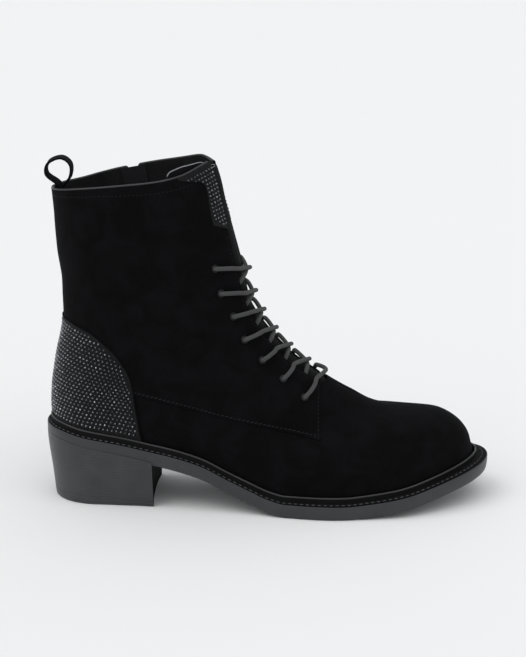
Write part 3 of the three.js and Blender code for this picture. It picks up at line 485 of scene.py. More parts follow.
def placePoints(bm, place):
    spots = np.array([v.co[:] for v in bm.verts])
    placed = toFrame(place(spots[:, 0], spots[:, 1], spots[:, 2]))
    for vert, spot in zip(bm.verts, placed):
        vert.co = spot


def writeSurfaceMap(bm, size):
    layer = bm.loops.layers.uv.new("surface")
    for face in bm.faces:
        for corner in face.loops:
            corner[layer].uv = (corner.vert.co.x * size[0], corner.vert.co.y * size[1])


# A grid on u and v from 0 to 1, with a second skin at w = 1 when it is thick, moved to its place by place(u, v, w).
def gridPiece(name, columns, rows, place, look, thick=True, wrap=False, rim=0.0, mapMm=None, body="root",
              stands=(), sharp=0.75):
    bm = bmesh.new()
    bmesh.ops.create_grid(bm, x_segments=columns, y_segments=rows, size=0.5)
    bmesh.ops.translate(bm, vec=(0.5, 0.5, 0), verts=bm.verts)
    rimEdges = []
    if thick:
        border = [e for e in bm.edges if e.is_boundary]
        if wrap:
            border = [e for e in border if abs(e.verts[0].co.y - e.verts[1].co.y) < 1e-6]
        made = bmesh.ops.extrude_face_region(bm, geom=bm.faces[:])
        fresh = [v for v in made["geom"] if isinstance(v, bmesh.types.BMVert)]
        bmesh.ops.translate(bm, vec=(0, 0, 1), verts=fresh)
        rimEdges = [e for e in bm.edges if all(v.co.z < 0.5 for v in e.verts) and any(
            f.calc_center_median().z > 0.1 for f in e.link_faces)]
        if wrap:
            walls = [f for f in bm.faces if all(v.co.x < 1e-6 for v in f.verts) or all(v.co.x > 1 - 1e-6 for v in f.verts)]
            bmesh.ops.delete(bm, geom=walls, context="FACES_ONLY")
            rimEdges = [e for e in rimEdges if e.is_valid and abs(e.verts[0].co.y - e.verts[1].co.y) < 1e-6]
    if mapMm:
        writeSurfaceMap(bm, mapMm)
    placePoints(bm, place)
    bmesh.ops.remove_doubles(bm, verts=bm.verts, dist=2e-6)
    bmesh.ops.recalc_face_normals(bm, faces=bm.faces)
    if rim:
        edges = [e for e in rimEdges if e.is_valid]
        bmesh.ops.bevel(bm, geom=edges, offset=rim / 1000, offset_type="OFFSET", segments=2, profile=0.5,
                        affect="EDGES", material=-1)
    return finishPiece(name, bm, look, body, stands, sharp)


def finishPiece(name, bm, look, body="root", stands=(), sharp=0.75):
    for face in bm.faces:
        face.smooth = sharp > 0
    for edge in bm.edges:
        if len(edge.link_faces) == 2 and edge.calc_face_angle(0) > sharp:
            edge.smooth = False
    mesh = bpy.data.meshes.new(name)
    bm.to_mesh(mesh)
    bm.free()
    mesh.materials.append(look)
    piece = bpy.data.objects.new(name, mesh)
    bpy.context.scene.collection.objects.link(piece)
    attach(piece, body)
    if stands:
        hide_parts(*stands)
    return piece


# Many copies of one small shape, each with its centre, its three axes and its size in mm.
def strewPiece(name, shape, centres, axes, sizes, look, sharp=0.0, stands=()):
    mesh = bpy.data.meshes.new("strewn")
    shape.to_mesh(mesh)
    shape.free()
    base = np.array([v.co[:] for v in mesh.vertices])
    bm = bmesh.new()
    for centre, frameAxes, size in zip(centres, axes, sizes):
        spots = toFrame(centre + (base * size) @ frameAxes)
        mesh.vertices.foreach_set("co", spots.ravel())
        bm.from_mesh(mesh)
    bpy.data.meshes.remove(mesh)
    return finishPiece(name, bm, look, "root", stands, sharp)


def axesFrom(along, normal):
    along = unit(along - normal * (along * normal).sum(-1, keepdims=True))
    return np.stack([along, np.cross(normal, along), normal], -2)


def resample(points, pitch, first=0.0, last=0.0):
    lengths = np.concatenate([[0], np.cumsum(np.linalg.norm(np.diff(points, axis=0), axis=1))])
    count = max(int((lengths[-1] - first - last) / pitch), 1)
    at = first + (np.arange(count) + 0.5) * (lengths[-1] - first - last) / count
    return np.stack([np.interp(at, lengths, points[:, k]) for k in range(points.shape[1])], 1)


# A row of stitches along a line of levels and angles, each stitch sunk a little at its ends.
def stitchRow(name, levels, angles, look, stitch, out=0.0):
    spots = offSkin(levels, angles, out)
    normals = skinNormal(levels, angles)
    both = resample(np.concatenate([spots, normals], 1), stitch["pitch"])
    centres, normals = both[:, :3], unit(both[:, 3:])
    along = np.gradient(centres, axis=0)
    axes = axesFrom(along, normals)
    if stitch.get("slant"):
        turn = math.radians(stitch["slant"])
        along = axes[:, 0] * math.cos(turn) + axes[:, 1] * math.sin(turn)
        axes = axesFrom(along, normals)
    shape = bmesh.new()
    bmesh.ops.create_uvsphere(shape, u_segments=6, v_segments=5, radius=0.5)
    bmesh.ops.rotate(shape, matrix=Matrix.Rotation(math.pi / 2, 3, "Y"), verts=shape.verts)
    sizes = np.tile([stitch["length"], stitch["width"], stitch["width"] * 0.8], (len(centres), 1))
    return strewPiece(name, shape, centres, axes, sizes, look, sharp=2.0)


def alongPath(points, count):
    lengths = np.concatenate([[0], np.cumsum(np.linalg.norm(np.diff(points, axis=0), axis=1))])
    at = np.linspace(0, lengths[-1], count)
    return np.stack([np.interp(at, lengths, points[:, k]) for k in range(3)], 1), lengths[-1]


def smoothPath(points, steps=12):
    points = np.array(points, float)
    ends = np.vstack([2 * points[0] - points[1], points, 2 * points[-1] - points[-2]])
    out = []
    for i in range(1, len(ends) - 2):
        a, b, c, d = ends[i - 1:i + 3]
        for t in np.linspace(0, 1, steps, endpoint=False):
            out.append(0.5 * (2 * b + (c - a) * t + (2 * a - 5 * b + 4 * c - d) * t * t + (3 * b - a - 3 * c + d) * t ** 3))
    out.append(ends[-2])
    return np.array(out)


def carriedFrames(path):
    tangents = unit(np.gradient(path, axis=0))
    side = np.cross(tangents[0], [0.0, 0.0, 1.0])
    side = side / max(np.linalg.norm(side), 1e-6)
    sides = []
    for tangent in tangents:
        side = side - tangent * (side @ tangent)
        side = side / np.linalg.norm(side)
        sides.append(side)
    sides = np.array(sides)
    return tangents, sides, np.cross(tangents, sides)


# A round cord along a path, closed by rounded ends; the map runs along it in mm.
def cordPiece(name, path, radius, look, sides=12, stands=(), flat=1.0, body="root", pitch=0.7):
    count = max(int(np.linalg.norm(np.diff(path, axis=0), axis=1).sum() / pitch), 8)
    spots, length = alongPath(path, count + 1)
    _, right, up = carriedFrames(spots)

    def place(u, v, w):
        i = np.rint(u * count).astype(int)
        fromEnd = np.minimum(u, 1 - u) * length
        girth = np.sqrt(np.clip(1 - (1 - np.clip(fromEnd / radius, 0, 1)) ** 2, 0, 1)) * radius
        turn = 2 * np.pi * v
        return spots[i] + right[i] * (girth * np.cos(turn))[:, None] + up[i] * (girth * flat * np.sin(turn))[:, None]

    return gridPiece(name, count, sides, place, look, thick=False, mapMm=(length, 2 * math.pi * radius),
                     stands=stands, sharp=3.0, body=body)


# Camera where the photo's was: eye in mm, turn and tilt in degrees, and the lens for an image 657 high.
view = {"eye": (22.4, -898.9, 355.4), "tilt": 15.45, "turn": 1.63, "lens": 1513 / 657 * 36}
camera = bpy.data.objects.new("camera", bpy.data.cameras.new("camera"))
camera.location = Vector(view["eye"]) / 1000
camera.rotation_euler = (math.radians(90 - view["tilt"]), 0, math.radians(view["turn"]))
camera.data.lens = view["lens"]
camera.data.sensor_width = 36
bpy.context.scene.collection.objects.link(camera)
bpy.context.scene.camera = camera
print("camera set")


# Lower panel and vamp in one piece, tucked up under the quarters.
def foldAngle(angle):
    return np.abs((angle + np.pi) % (2 * np.pi) - np.pi)


def tuckLevel(angle, tuckMm):
    half = foldAngle(angle)
    seam = levelAtHeight(lambda level: half, lambda x: seamHeight(x) + tuckMm)
    share = (1 + np.cos(half)) / 2
    low, high = np.zeros_like(half), np.ones_like(half) * throat
    for _ in range(26):
        level = (low + high) / 2
        ahead = mix(backX(level), frontX(level), share) > quarterFrontX - tuckMm
        low, high = np.where(ahead, level, low), np.where(ahead, high, level)
    return np.maximum(seam, low)


lower = {"columns": 380, "rows": 66, "liningRows": 44, "tuckMm": 6}
columnTops = tuckLevel(np.linspace(0, 2 * np.pi, lower["columns"] + 1), lower["tuckMm"])


def lowerPlace(outer, inner, rows):
    def place(u, v, w):
        angle = 2 * np.pi * u
        top = columnTops[np.rint(u * lower["columns"]).astype(int)]
        level = top * np.maximum(v * rows - 1, 0) / (rows - 1)
        x = skin(level, angle)[:, 0]
        sunk = -boot["seamStep"] * smoothStep(x, 0.6 * boot["counterLength"], boot["counterLength"])
        spots = offSkin(level, angle, mix(outer + (sunk if outer > -1 else 0), inner, w))
        spots[:, 2] = np.where(v < 1e-6, weltTop(spots[:, 0]) + gap, spots[:, 2])  # skirt behind the welt's bead
        return spots
    return place


gridPiece("vamp_panel", lower["columns"], lower["rows"], lowerPlace(0, -1.3, lower["rows"]), finish["suede"],
          wrap=True, rim=0.3, stands=["upper"])
gridPiece("lining_lower", lower["columns"], lower["liningRows"], lowerPlace(-1.32, -wall, lower["liningRows"]), finish["lining"],
          wrap=True)
print("vamp and lower lining made")

# Quarters: the outer one whole, the inner one split by the zip.
quarter = {"rows": 120, "liningRows": 80, "thickness": 0.95, "dipAt": 1.9, "dip": 0.35, "puff": 0.3}


def zipAngle(level, side):
    return angleAt(level, zipX(level) + side * boot["zipGap"] / 2)


def backAngle(level):
    return np.pi + np.zeros_like(level)


cornerDrop = {"level": 0.018, "spread": 0.16}


def collarLevel(angle):
    fromEdge = np.maximum(np.abs(angle) - edgeAngle(np.array(1.0)), 0)
    return 1 - np.where(np.sin(angle) < 0, cornerDrop["level"], 0) * np.exp(-(fromEdge / cornerDrop["spread"]) ** 2)


quarterParts = [
    ("outer", 1, edgeAngle, backAngle, 190), ("inner_front", -1, edgeAngle, lambda level: zipAngle(level, 1), 120),
    ("inner_back", -1, lambda level: zipAngle(level, -1), backAngle, 80),
]


def quarterLift(level, angle, spots):
    edge = skin(level, np.where(np.sin(angle) >= 0, 1, -1) * edgeAngle(level))
    above = np.maximum(spots[..., 2] - seamHeight(spots[..., 0]), 0)
    fromEdge = np.minimum(np.linalg.norm(spots - edge, axis=-1), above)
    dip = -quarter["dip"] * np.exp(-((fromEdge - quarter["dipAt"]) / 0.8) ** 2)
    return dip + quarter["puff"] * np.exp(-((fromEdge - 6) / 4) ** 2)


def quarterPlace(side, front, back, seams, columns, outer, inner):
    def place(u, v, w):
        low = seams[np.rint(u * columns).astype(int)]
        level = mix(low, collarLevel(side * mix(front(np.ones_like(u)), back(np.ones_like(u)), u)), v)
        angle = side * mix(front(level), back(level), u)
        lift = quarterLift(level, angle, skin(level, angle)) if outer == 0 else 0
        return offSkin(level, angle, mix(outer + lift, inner, w))
    return place


for part, side, front, back, columns in quarterParts:
    across = np.linspace(0, 1, columns + 1)
    seams = levelAtHeight(lambda level: side * mix(front(level), back(level), across), seamHeight)
    gridPiece(f"quarter_{part}", columns, quarter["rows"],
              quarterPlace(side, front, back, seams, columns, 0, -quarter["thickness"]), finish["suede"],
              rim=0.35, stands=["upper"])
    gridPiece(f"lining_{part}", columns, quarter["liningRows"],
              quarterPlace(side, front, back, seams, columns, -1.05, -wall), finish["lining"],
              rim=0.2)
    collarLine = np.linspace(0.004, 0.996, 90)
    ones = np.ones_like(collarLine)
    rollAngles = side * mix(front(ones), back(ones), collarLine)
    roll = offSkin(collarLevel(rollAngles), rollAngles, -wall / 2 + 0.1)
    cordPiece(f"topline_{part}", roll, 0.8, finish["topline"], sides=10)
print("quarters, linings and topline made")

# Heel counter: stone-set cloth with a plain folded rim, and the stones in staggered rows.
counter = {"thickness": 0.45, "rimMm": 1.9, "pitch": 2.7, "rowPitch": 2.4, "stoneWidth": 1.6, "stoneHeight": 0.75}
counterRows = np.array([(-0.2, 1.01), (0.17, 0.98), (0.36, 0.93), (0.5, 0.88), (0.68, 0.75), (0.83, 0.58), (0.9, 0.43),
                        (0.94, 0.19), (1, -0.2)])
counterEdge = smoothPath(np.column_stack([
    lastBackX + counterRows[:, 0] * boot["counterLength"], np.zeros(len(counterRows)),
    featherHeight(lastBackX) + counterRows[:, 1] * boot["counterHeight"]]), 16)
counterEdge = counterEdge[(counterEdge[:, 2] > featherHeight(counterEdge[:, 0]) + 0.2) & (counterEdge[:, 0] > 12.6)]
counterEdge = counterEdge[::-1]  # from the front foot up to the back
counterEdge, _ = alongPath(counterEdge, 80)


# Levels and angles of the counter's edge from the outer front foot over the back to the inner one.
def counterLine():
    outerLevel, outerAngle = locate(counterEdge[:, 0], counterEdge[:, 2])
    innerLevel, innerAngle = locate(counterEdge[:, 0], counterEdge[:, 2], inner=True)
    bridge = np.linspace(0, 1, 14)[1:-1]
    levels = np.concatenate([outerLevel, mix(outerLevel[-1], innerLevel[-1], bridge), innerLevel[::-1]])
    angles = np.concatenate([outerAngle, mix(outerAngle[-1], 2 * np.pi + innerAngle[-1], bridge), 2 * np.pi + innerAngle[::-1]])
    return levels, angles


edgeLevels, edgeAngles = counterLine()
counterColumns = len(edgeLevels) - 1
footAngles = mix(edgeAngles[0], edgeAngles[-1], np.linspace(0, 1, counterColumns + 1))
counterLift = gap / 2 + counter["thickness"]


def counterPlace(u, v, w):
    i = np.rint(u * counterColumns).astype(int)
    level = edgeLevels[i] * v
    angle = mix(footAngles[i], edgeAngles[i], v ** 0.8)
    fromRim = (1 - v) * edgeLevels[i] * 140
    skived = 0.35 * np.exp(-((fromRim - 2.3) / 0.7) ** 2)
    spots = offSkin(level, angle, mix(counterLift - skived, gap / 2, w))
    spots[:, 2] = np.where(v < 1e-6, featherHeight(spots[:, 0]) - 1.5, spots[:, 2])
    return spots


gridPiece("heel_counter", counterColumns, 60, counterPlace, finish["stoneCloth"], rim=0.4,
          mapMm=(190, 60), stands=["counter"])
rimPath = offSkin(edgeLevels, edgeAngles, counterLift - 0.25)
cordPiece("counter_rim", rimPath[1:-1], 0.5, finish["suede"], sides=8)


def stoneShape(stone):
    shape = bmesh.new()
    bmesh.ops.create_cone(shape, cap_ends=True, segments=8, radius1=0.5, radius2=0.44, depth=0.3)
    bmesh.ops.translate(shape, vec=(0, 0, 0.15), verts=shape.verts)
    table = [f for f in shape.faces if f.calc_center_median().z > 0.29]
    made = bmesh.ops.inset_region(shape, faces=table, thickness=0.17, depth=0.0)
    bmesh.ops.translate(shape, vec=(0, 0, 0.55), verts=table[0].verts)
    return shape


def setStones(name, centres, normals, along, stone, seed):
    random = np.random.RandomState(seed)
    count = len(centres)
    normals = unit(normals + random.normal(0, 0.05, (count, 3)))
    spin = random.uniform(0, np.pi / 4, count)
    axes = axesFrom(along, normals)
    turned = axes[:, 0] * np.cos(spin)[:, None] + axes[:, 1] * np.sin(spin)[:, None]
    sizes = np.tile([stone["stoneWidth"], stone["stoneWidth"], stone["stoneHeight"]], (count, 1))
    piece = strewPiece(name, stoneShape(stone), centres, axesFrom(turned, normals), sizes, finish["stone"], sharp=0.0)
    # random tone per facet: the lighter ones are painted glints
    tones = piece.data.attributes.new("facetGlintTone", "FLOAT", "FACE")
    perFace = random.beta(1.3, 2.0, len(piece.data.polygons)).astype(np.float32)
    tones.data.foreach_set("value", perFace)
    for polygon in piece.data.polygons:
        polygon.use_smooth = False
    return piece


def counterStones():
    centres, normals, along = [], [], []
    top = boot["counterHeight"] + featherHeight(lastBackX)
    edgeX, edgeZ = counterEdge[::-1, 0], counterEdge[::-1, 2]
    rimOf = np.concatenate([offSkin(edgeLevels, edgeAngles, counterLift)])
    height = 2.6
    row = 0
    while height < boot["counterHeight"] + 2:
        level = height / (boot["backHeight"] - featherHeight(lastBackX))
        angles = np.linspace(edgeAngles.min() - 0.25, 2 * np.pi - edgeAngles.min() + 0.25, 900)
        line = offSkin(np.full_like(angles, level), angles, counterLift - 0.05)
        lengths = np.concatenate([[0], np.cumsum(np.linalg.norm(np.diff(line, axis=0), axis=1))])
        middle = np.interp(np.pi, angles, lengths)
        steps = np.arange(-40, 41) + (0.5 if row % 2 else 0)
        at = middle + steps * counter["pitch"]
        at = at[(at > 0) & (at < lengths[-1])]
        spotAngles = np.interp(at, lengths, angles)
        spots = offSkin(np.full_like(spotAngles, level), spotAngles, counterLift - 0.05)
        fromRim = np.linalg.norm(spots[:, None] - rimOf[None], axis=-1).min(1)
        limit = np.where(spots[:, 0] < edgeX[0], edgeZ[0], np.interp(spots[:, 0], edgeX, edgeZ))
        inside = (spots[:, 2] < limit) & (spots[:, 0] < edgeX[-1]) & (fromRim > counter["rimMm"])
        centres.append(spots[inside])
        normals.append(skinNormal(np.full(inside.sum(), level), spotAngles[inside]))
        turned = skin(level, spotAngles[inside] + 0.01) - skin(level, spotAngles[inside] - 0.01)
        along.append(unit(turned))
        height += counter["rowPitch"]
        row += 1
    return np.concatenate(centres), np.concatenate(normals), np.concatenate(along)


stones = counterStones()
setStones("counter_stones", *stones, counter, 11)
print("counter made with", len(stones[0]), "stones")

# Panels beside the throat: stone-set cloth from the collar down, on a square grid that follows the facing.
panel = {"thickness": 0.6, "height": 46, "pitch": 2.4, "acrossPitch": 2.15, "stoneWidth": 1.5, "stoneHeight": 0.75, "rimMm": 0.85, "collarMm": 1.9}
panelBackAt = smoothTable([
    (0.2, 85.2), (0.246, 86.2), (0.276, 90.8), (0.287, 98), (0.317, 100.5), (0.398, 102.2), (0.53, 103.3), (0.724, 105),
    (0.867, 106.8), (1, 109.3)])


# Angle of the panel's back border: a narrow tail along the collar, then down beside the facing.
def panelBackAngle(level):
    level = np.asarray(level, float)
    low, high = edgeAngle(level), angleAt(level, 80.0)
    for _ in range(26):
        angle = (low + high) / 2
        spots = skin(level, angle)
        inside = spots[..., 0] > panelBackAt((boot["frontHeight"] - spots[..., 2]) / panel["height"])
        low, high = np.where(inside, angle, low), np.where(inside, high, angle)
    return low


panelFoot = float(locate(110.5, boot["frontHeight"] - panel["height"] + 1.5)[0])
for part, side, slotName in (("outer", 1, "front_panel_lateral"), ("inner", -1, "front_panel_medial")):
    lift = gap / 2 + panel["thickness"]

    def panelPlace(u, v, w):
        top = collarLevel(side * mix(edgeAngle(np.array(1.0)), panelBackAngle(1.0), u))
        level = mix(panelFoot + 0.022 * u, top, v)
        angle = side * mix(edgeAngle(level), panelBackAngle(level), u)
        return offSkin(level, angle, mix(lift, gap / 2, w))

    gridPiece(f"front_panel_{part}", 40, 110, panelPlace, finish["stoneCloth"], rim=0.35,
              mapMm=(14, 46), stands=[slotName])
    centres, normals, along = [], [], []
    level = 1 - panel["collarMm"] / 128
    while level > panelFoot:
        angles = side * np.linspace(float(edgeAngle(level)), float(panelBackAngle(np.array(level))), 120)
        line = offSkin(np.full_like(angles, level), angles, lift - 0.05)
        lengths = np.concatenate([[0], np.cumsum(np.linalg.norm(np.diff(line, axis=0), axis=1))])
        at = np.arange(panel["rimMm"], lengths[-1] - panel["rimMm"] * 0.7, panel["acrossPitch"])
        spotAngles = np.interp(at, lengths, angles) if side > 0 else -np.interp(at, lengths, -angles)
        spots = offSkin(np.full_like(spotAngles, level), spotAngles, lift - 0.05)
        keep = (level - 0.009 > panelFoot + 0.022 * at / max(lengths[-1], 1)) & (level < collarLevel(spotAngles) - 0.013)
        centres.append(spots[keep])
        normals.append(skinNormal(np.full(keep.sum(), level), spotAngles[keep]))
        along.append(unit(skin(level, spotAngles[keep] + 0.01) - skin(level, spotAngles[keep] - 0.01)))
        slope = np.linalg.norm(skin(level, angles[60]) - skin(level - 0.01, angles[60])) / 0.01
        level -= panel["pitch"] / slope
    setStones(f"front_stones_{part}", np.concatenate(centres), np.concatenate(normals), np.concatenate(along), panel, 20 + side)
print("front panels made")

# Tongue under the facings, with a folded leather edge along its top.
tongue = {"clearance": 0.9, "thickness": 2.2, "low": throat - 0.06, "columns": 60, "rows": 90, "edgeRadius": 0.75, "levelMm": 150}
tongueShare = smoothTable([(0, 1.4 / 8), (0.3, 2.2 / 8), (0.7, 3.4 / 8), (1, 0.6)])
tongueRise = smoothTable([(0, -3.4), (0.24, -3.1), (0.49, 1.3), (0.65, 3), (0.79, 4.4), (0.91, 4), (1, 0.5)])


# The outer wing stands above the collar; the inner one stays below it.
def tongueTopLevel(across):
    return 1 + np.where(across > 0, tongueRise(np.abs(across)), -3 + 1.2 * across) / tongue["levelMm"]


def tongueAngle(level):
    reach = tongueShare((level - throat) / (1 - throat))
    return mix(edgeAngle(np.maximum(level, throat)), zipAngle(np.maximum(level, throat), 1), reach)


def tongueSpot(across, level, out):
    held = np.minimum(level, 1)
    angle = across * tongueAngle(held)
    spots = offSkin(held, angle, out)
    before = offSkin(held - 0.02, across * tongueAngle(held - 0.02), out)
    return spots + unit(spots - before) * (np.maximum(level - 1, 0) * tongue["levelMm"])[..., None]


def tonguePlace(u, v, w):
    across = 2 * u - 1
    level = mix(tongue["low"], tongueTopLevel(across), v)
    out = -wall - tongue["clearance"] - 0.25 * np.sin(level * 31) * np.exp(-((u - 0.5) / 0.2) ** 2)
    return tongueSpot(across, level, out - w * tongue["thickness"])


gridPiece("tongue_panel", tongue["columns"], tongue["rows"], tonguePlace, finish["tongue"], rim=0.5,
          stands=["tongue"])
edgeAcross = np.linspace(-0.98, 0.975, 80)
tongueTop = tongueSpot(edgeAcross, tongueTopLevel(edgeAcross) - 0.3 / tongue["levelMm"],
                       np.full(80, -wall - tongue["clearance"] - tongue["thickness"] / 2))
# The edge cord's pale grey is a painted highlight.
cordPiece("tongue_edge", tongueTop, tongue["edgeRadius"], finish["edge"], sides=10)
print("tongue made")

# Insole: a leather sock that dishes up a little at its border.
insole = {"out": -wall - 0.6, "columns": 30, "rows": 120, "dish": 1.6}


def outlinePoint(angle, out):
    spots = skin(np.zeros_like(angle), angle)
    along = skin(np.zeros_like(angle), angle + 0.01) - skin(np.zeros_like(angle), angle - 0.01)
    normal = unit(np.stack([-along[:, 1], along[:, 0], np.zeros_like(angle)], -1))
    return spots + normal * np.broadcast_to(out, angle.shape)[:, None]


def insolePlace(u, v, w):
    angle = mix(np.pi - 0.02, 0.02, v)
    one, other = outlinePoint(angle, insole["out"]), outlinePoint(2 * np.pi - angle, insole["out"])
    spots = mix(one, other, u[:, None])
    dish = insole["dish"] * np.abs(2 * u - 1) ** 4
    spots[:, 2] = weltTop(spots[:, 0]) + gap + mix(boot["insoleThickness"] + dish, 0, w)
    return spots


gridPiece("insole_sock", insole["columns"], insole["rows"], insolePlace, finish["lining"], rim=0.4,
          stands=["insole"])

# Pull loop: one strap bent over itself, both ends sewn inside the back of the collar.
loop = {"width": 14, "height": 18.5, "depth": 14.6, "tail": 16, "thickness": 1.5, "standOff": 2.4, "twist": 7}
root = float(backX(np.array(1.0))) + wall + loop["thickness"] / 2 + loop["standOff"]
crown, back = boot["backHeight"] + loop["height"], boot["backHeight"]
bend = [
    (root, back - loop["tail"]), (root, back - 0.5), (root - 1.2, back + 3),
    (root - 0.5 * loop["depth"], back + 0.45 * loop["height"]), (root - 0.42 * loop["depth"], back + 0.8 * loop["height"]),
    (root + 0.1 * loop["depth"], crown - loop["thickness"] / 2), (root + 0.47 * loop["depth"], back + 0.75 * loop["height"]),
    (root + 0.45 * loop["depth"], back + 0.35 * loop["height"]), (root + loop["thickness"] + gap, back - 1),
    (root + loop["thickness"] + gap, back - loop["tail"])]
loopPath, loopLength = alongPath(smoothPath([(x, 0, z) for x, z in bend], 14), 141)
loopTangent = unit(np.gradient(loopPath, axis=0))
loopNormal = np.cross(loopTangent, [0.0, 1.0, 0.0])


def loopPlace(u, v, w):
    i = np.rint(u * 140).astype(int)
    free = np.sin(np.pi * np.clip((u - 0.2) / 0.6, 0, 1)) ** 2
    turn = math.radians(loop["twist"]) * free * np.sin(2 * np.pi * u)
    across = (v - 0.5) * loop["width"] * (1 - 0.08 * free)
    cup = 0.5 * free * (2 * v - 1) ** 2
    out = (0.5 - w) * loop["thickness"] * (1 - 0.35 * np.abs(2 * v - 1) ** 6) + cup
    y = across * np.cos(turn)
    spots = loopPath[i] + loopNormal[i] * (out + across * np.sin(turn))[:, None]
    spots[:, 1] += y
    return spots


gridPiece("pull_loop_strap", 140, 16, loopPlace, finish["loopSuede"], rim=0.3, stands=["pull_loop"])
print("insole and pull loop made")

# Eyelets: spun rings set through the facings.
eyelet = {"hole": 2.8, "flange": 5, "wall": 0.5, "thickness": 0.7}
throatX, throatZ = float(frontX(throatArray)), float(frontZ(throatArray))
eyeletTable = [(0.225, -0.049), (0.415, 0.034), (0.599, 0.119), (0.757, 0.212), (0.858, 0.314), (0.962, 0.419), (1.012, 0.529)]


def eyeletSpot(pair, side):
    shareBack, shareUp = eyeletTable[pair]
    x = mix(throatX, collarFrontX, shareBack)
    z = mix(throatZ, boot["frontHeight"], shareUp)
    level, angle = locate(x, z, inner=side < 0)
    return float(level), float(angle)


def eyeletShape():
    shape = bmesh.new()
    bore, flange = eyelet["hole"] / 2, eyelet["flange"] / 2
    lip = gap + eyelet["thickness"]
    profile = [(bore, -wall - 0.6), (bore + eyelet["wall"], -wall - 0.6), (bore + eyelet["wall"], gap - 0.1), (flange, gap - 0.1),
               (flange + 0.05, gap + 0.12), (flange - 0.3, lip - 0.12), (flange - 0.75, lip), (bore + 0.15, lip - 0.1), (bore, lip - 0.45)]
    verts = [shape.verts.new((r, 0, h)) for r, h in profile]
    edges = [shape.edges.new((a, b)) for a, b in zip(verts, verts[1:] + verts[:1])]
    bmesh.ops.spin(shape, geom=verts + edges, cent=(0, 0, 0), axis=(0, 0, 1), angle=2 * math.pi, steps=24, use_merge=True)
    bmesh.ops.remove_doubles(shape, verts=shape.verts, dist=1e-4)
    bmesh.ops.recalc_face_normals(shape, faces=shape.faces)
    return shape


for pair in range(7):
    for side, word in ((1, "lateral"), (-1, "medial")):
        level, angle = eyeletSpot(pair, side)
        level, angle = np.array([level]), np.array([angle])
        normal = skinNormal(level, angle)
        along = unit(skin(level + 0.01, angle) - skin(level - 0.01, angle))
        strewPiece(f"eyelet_ring_{word}_{pair + 1}", eyeletShape(), offSkin(level, angle, np.zeros(1)), axesFrom(along, normal),
                   np.ones((1, 3)), finish["eyelet"], sharp=0.9, stands=[f"eyelet_{word}_{pair + 1}"])
print("eyelets made")

# Lace: two strands cross down the throat, out of each hole and under the far facing, and meet in the lowest bar.
lace = {"radius": 1.35, "over": 2.1, "under": -3.5, "middleHigh": 2.0, "middleLow": -0.4}
edgeOf = [0.425, 0.486, 0.541, 0.593, 0.645, 0.693, 0.751]  # level where each run leaves the facing, from the lowest pair


def laceSpot(level, angle, out):
    level, angle = np.array([float(level)]), np.array([float(angle)])
    return (skin(level, angle) + skinNormal(level, angle) * out)[0]


def laceRun(pair, side):
    level, angle = eyeletSpot(pair, side)
    high = edgeOf[pair]
    spots = [laceSpot(level, angle, -1.2), laceSpot(level, angle, 1.5)]
    for share, out in ((0.3, lace["over"] + 0.25), (0.65, lace["over"]), (1.0, lace["over"] - 0.1)):
        spots.append(laceSpot(mix(level, high, share), side * mix(abs(angle), float(edgeAngle(high)), share), out))
    return spots


def crossingRun(pair, side):
    high = edgeOf[pair]
    low = mix(high, edgeOf[pair - 1], 0.42)
    under = mix(high, edgeOf[pair - 1], 0.72)
    middle = lace["middleHigh"] if side > 0 else lace["middleLow"]
    nextLevel, nextAngle = eyeletSpot(pair - 1, -side)
    return laceRun(pair, side) + [
        laceSpot(mix(high, low, 0.55), 0.0, middle),
        laceSpot(low, -side * 0.72 * float(edgeAngle(low)), -0.1),
        laceSpot(under, -side * 1.12 * float(edgeAngle(under)), lace["under"]),
        laceSpot(mix(under, nextLevel, 0.6), mix(-side * float(edgeAngle(under)), nextAngle, 0.6), lace["under"]),
        laceSpot(nextLevel, nextAngle, -3.3)]


lacePaths = []
for start in (1, -1):
    side = start
    points = [laceSpot(*eyeletSpot(6, side), -3.4)]
    for pair in range(6, 0, -1):
        points += crossingRun(pair, side)
        side = -side
    lacePaths.append((points, side))
(first, firstSide), (second, secondSide) = lacePaths
barStart = laceRun(0, firstSide)
barEnd = laceRun(0, secondSide)
barMiddle = laceSpot(edgeOf[0], 0.0, lace["over"])
lacePath = smoothPath(first + barStart + [barMiddle] + barEnd[::-1] + second[::-1], 10)
cordPiece("lace_cord", lacePath, lace["radius"], finish["cord"], sides=14, pitch=0.8,
          stands=[f"lace_crossing_{n}" for n in range(1, 7)] + ["lace_bar"])
print("lace made, mm:", round(float(np.linalg.norm(np.diff(lacePath, axis=0), axis=1).sum())))


# Rings round the boot on the sole's outline: profile(share, margin) gives how far out and how high in mm.
weltShare = smoothTable([(0, 0.75), (0.12, 0.62), (0.4, 0.72), (0.55, 0.86), (0.7, 1), (0.9, 1.25), (1, 1.6)])


def margin(angle):
    return boot["weltWidth"] * weltShare((1 + np.cos(angle)) / 2)


def ringPlace(columns, profile, base):
    count = len(profile)

    def place(u, v, w):
        angle = 2 * np.pi * u
        k = np.rint(v * count).astype(int) % count
        edge = margin(angle)
        out = np.array([p[0] for p in profile])[k] * edge + np.array([p[1] for p in profile])[k]
        up = np.array([p[2] for p in profile])[k]
        spots = outlinePoint(angle, out)
        spots[:, 2] = base(spots[:, 0]) + up
        return spots
    return place


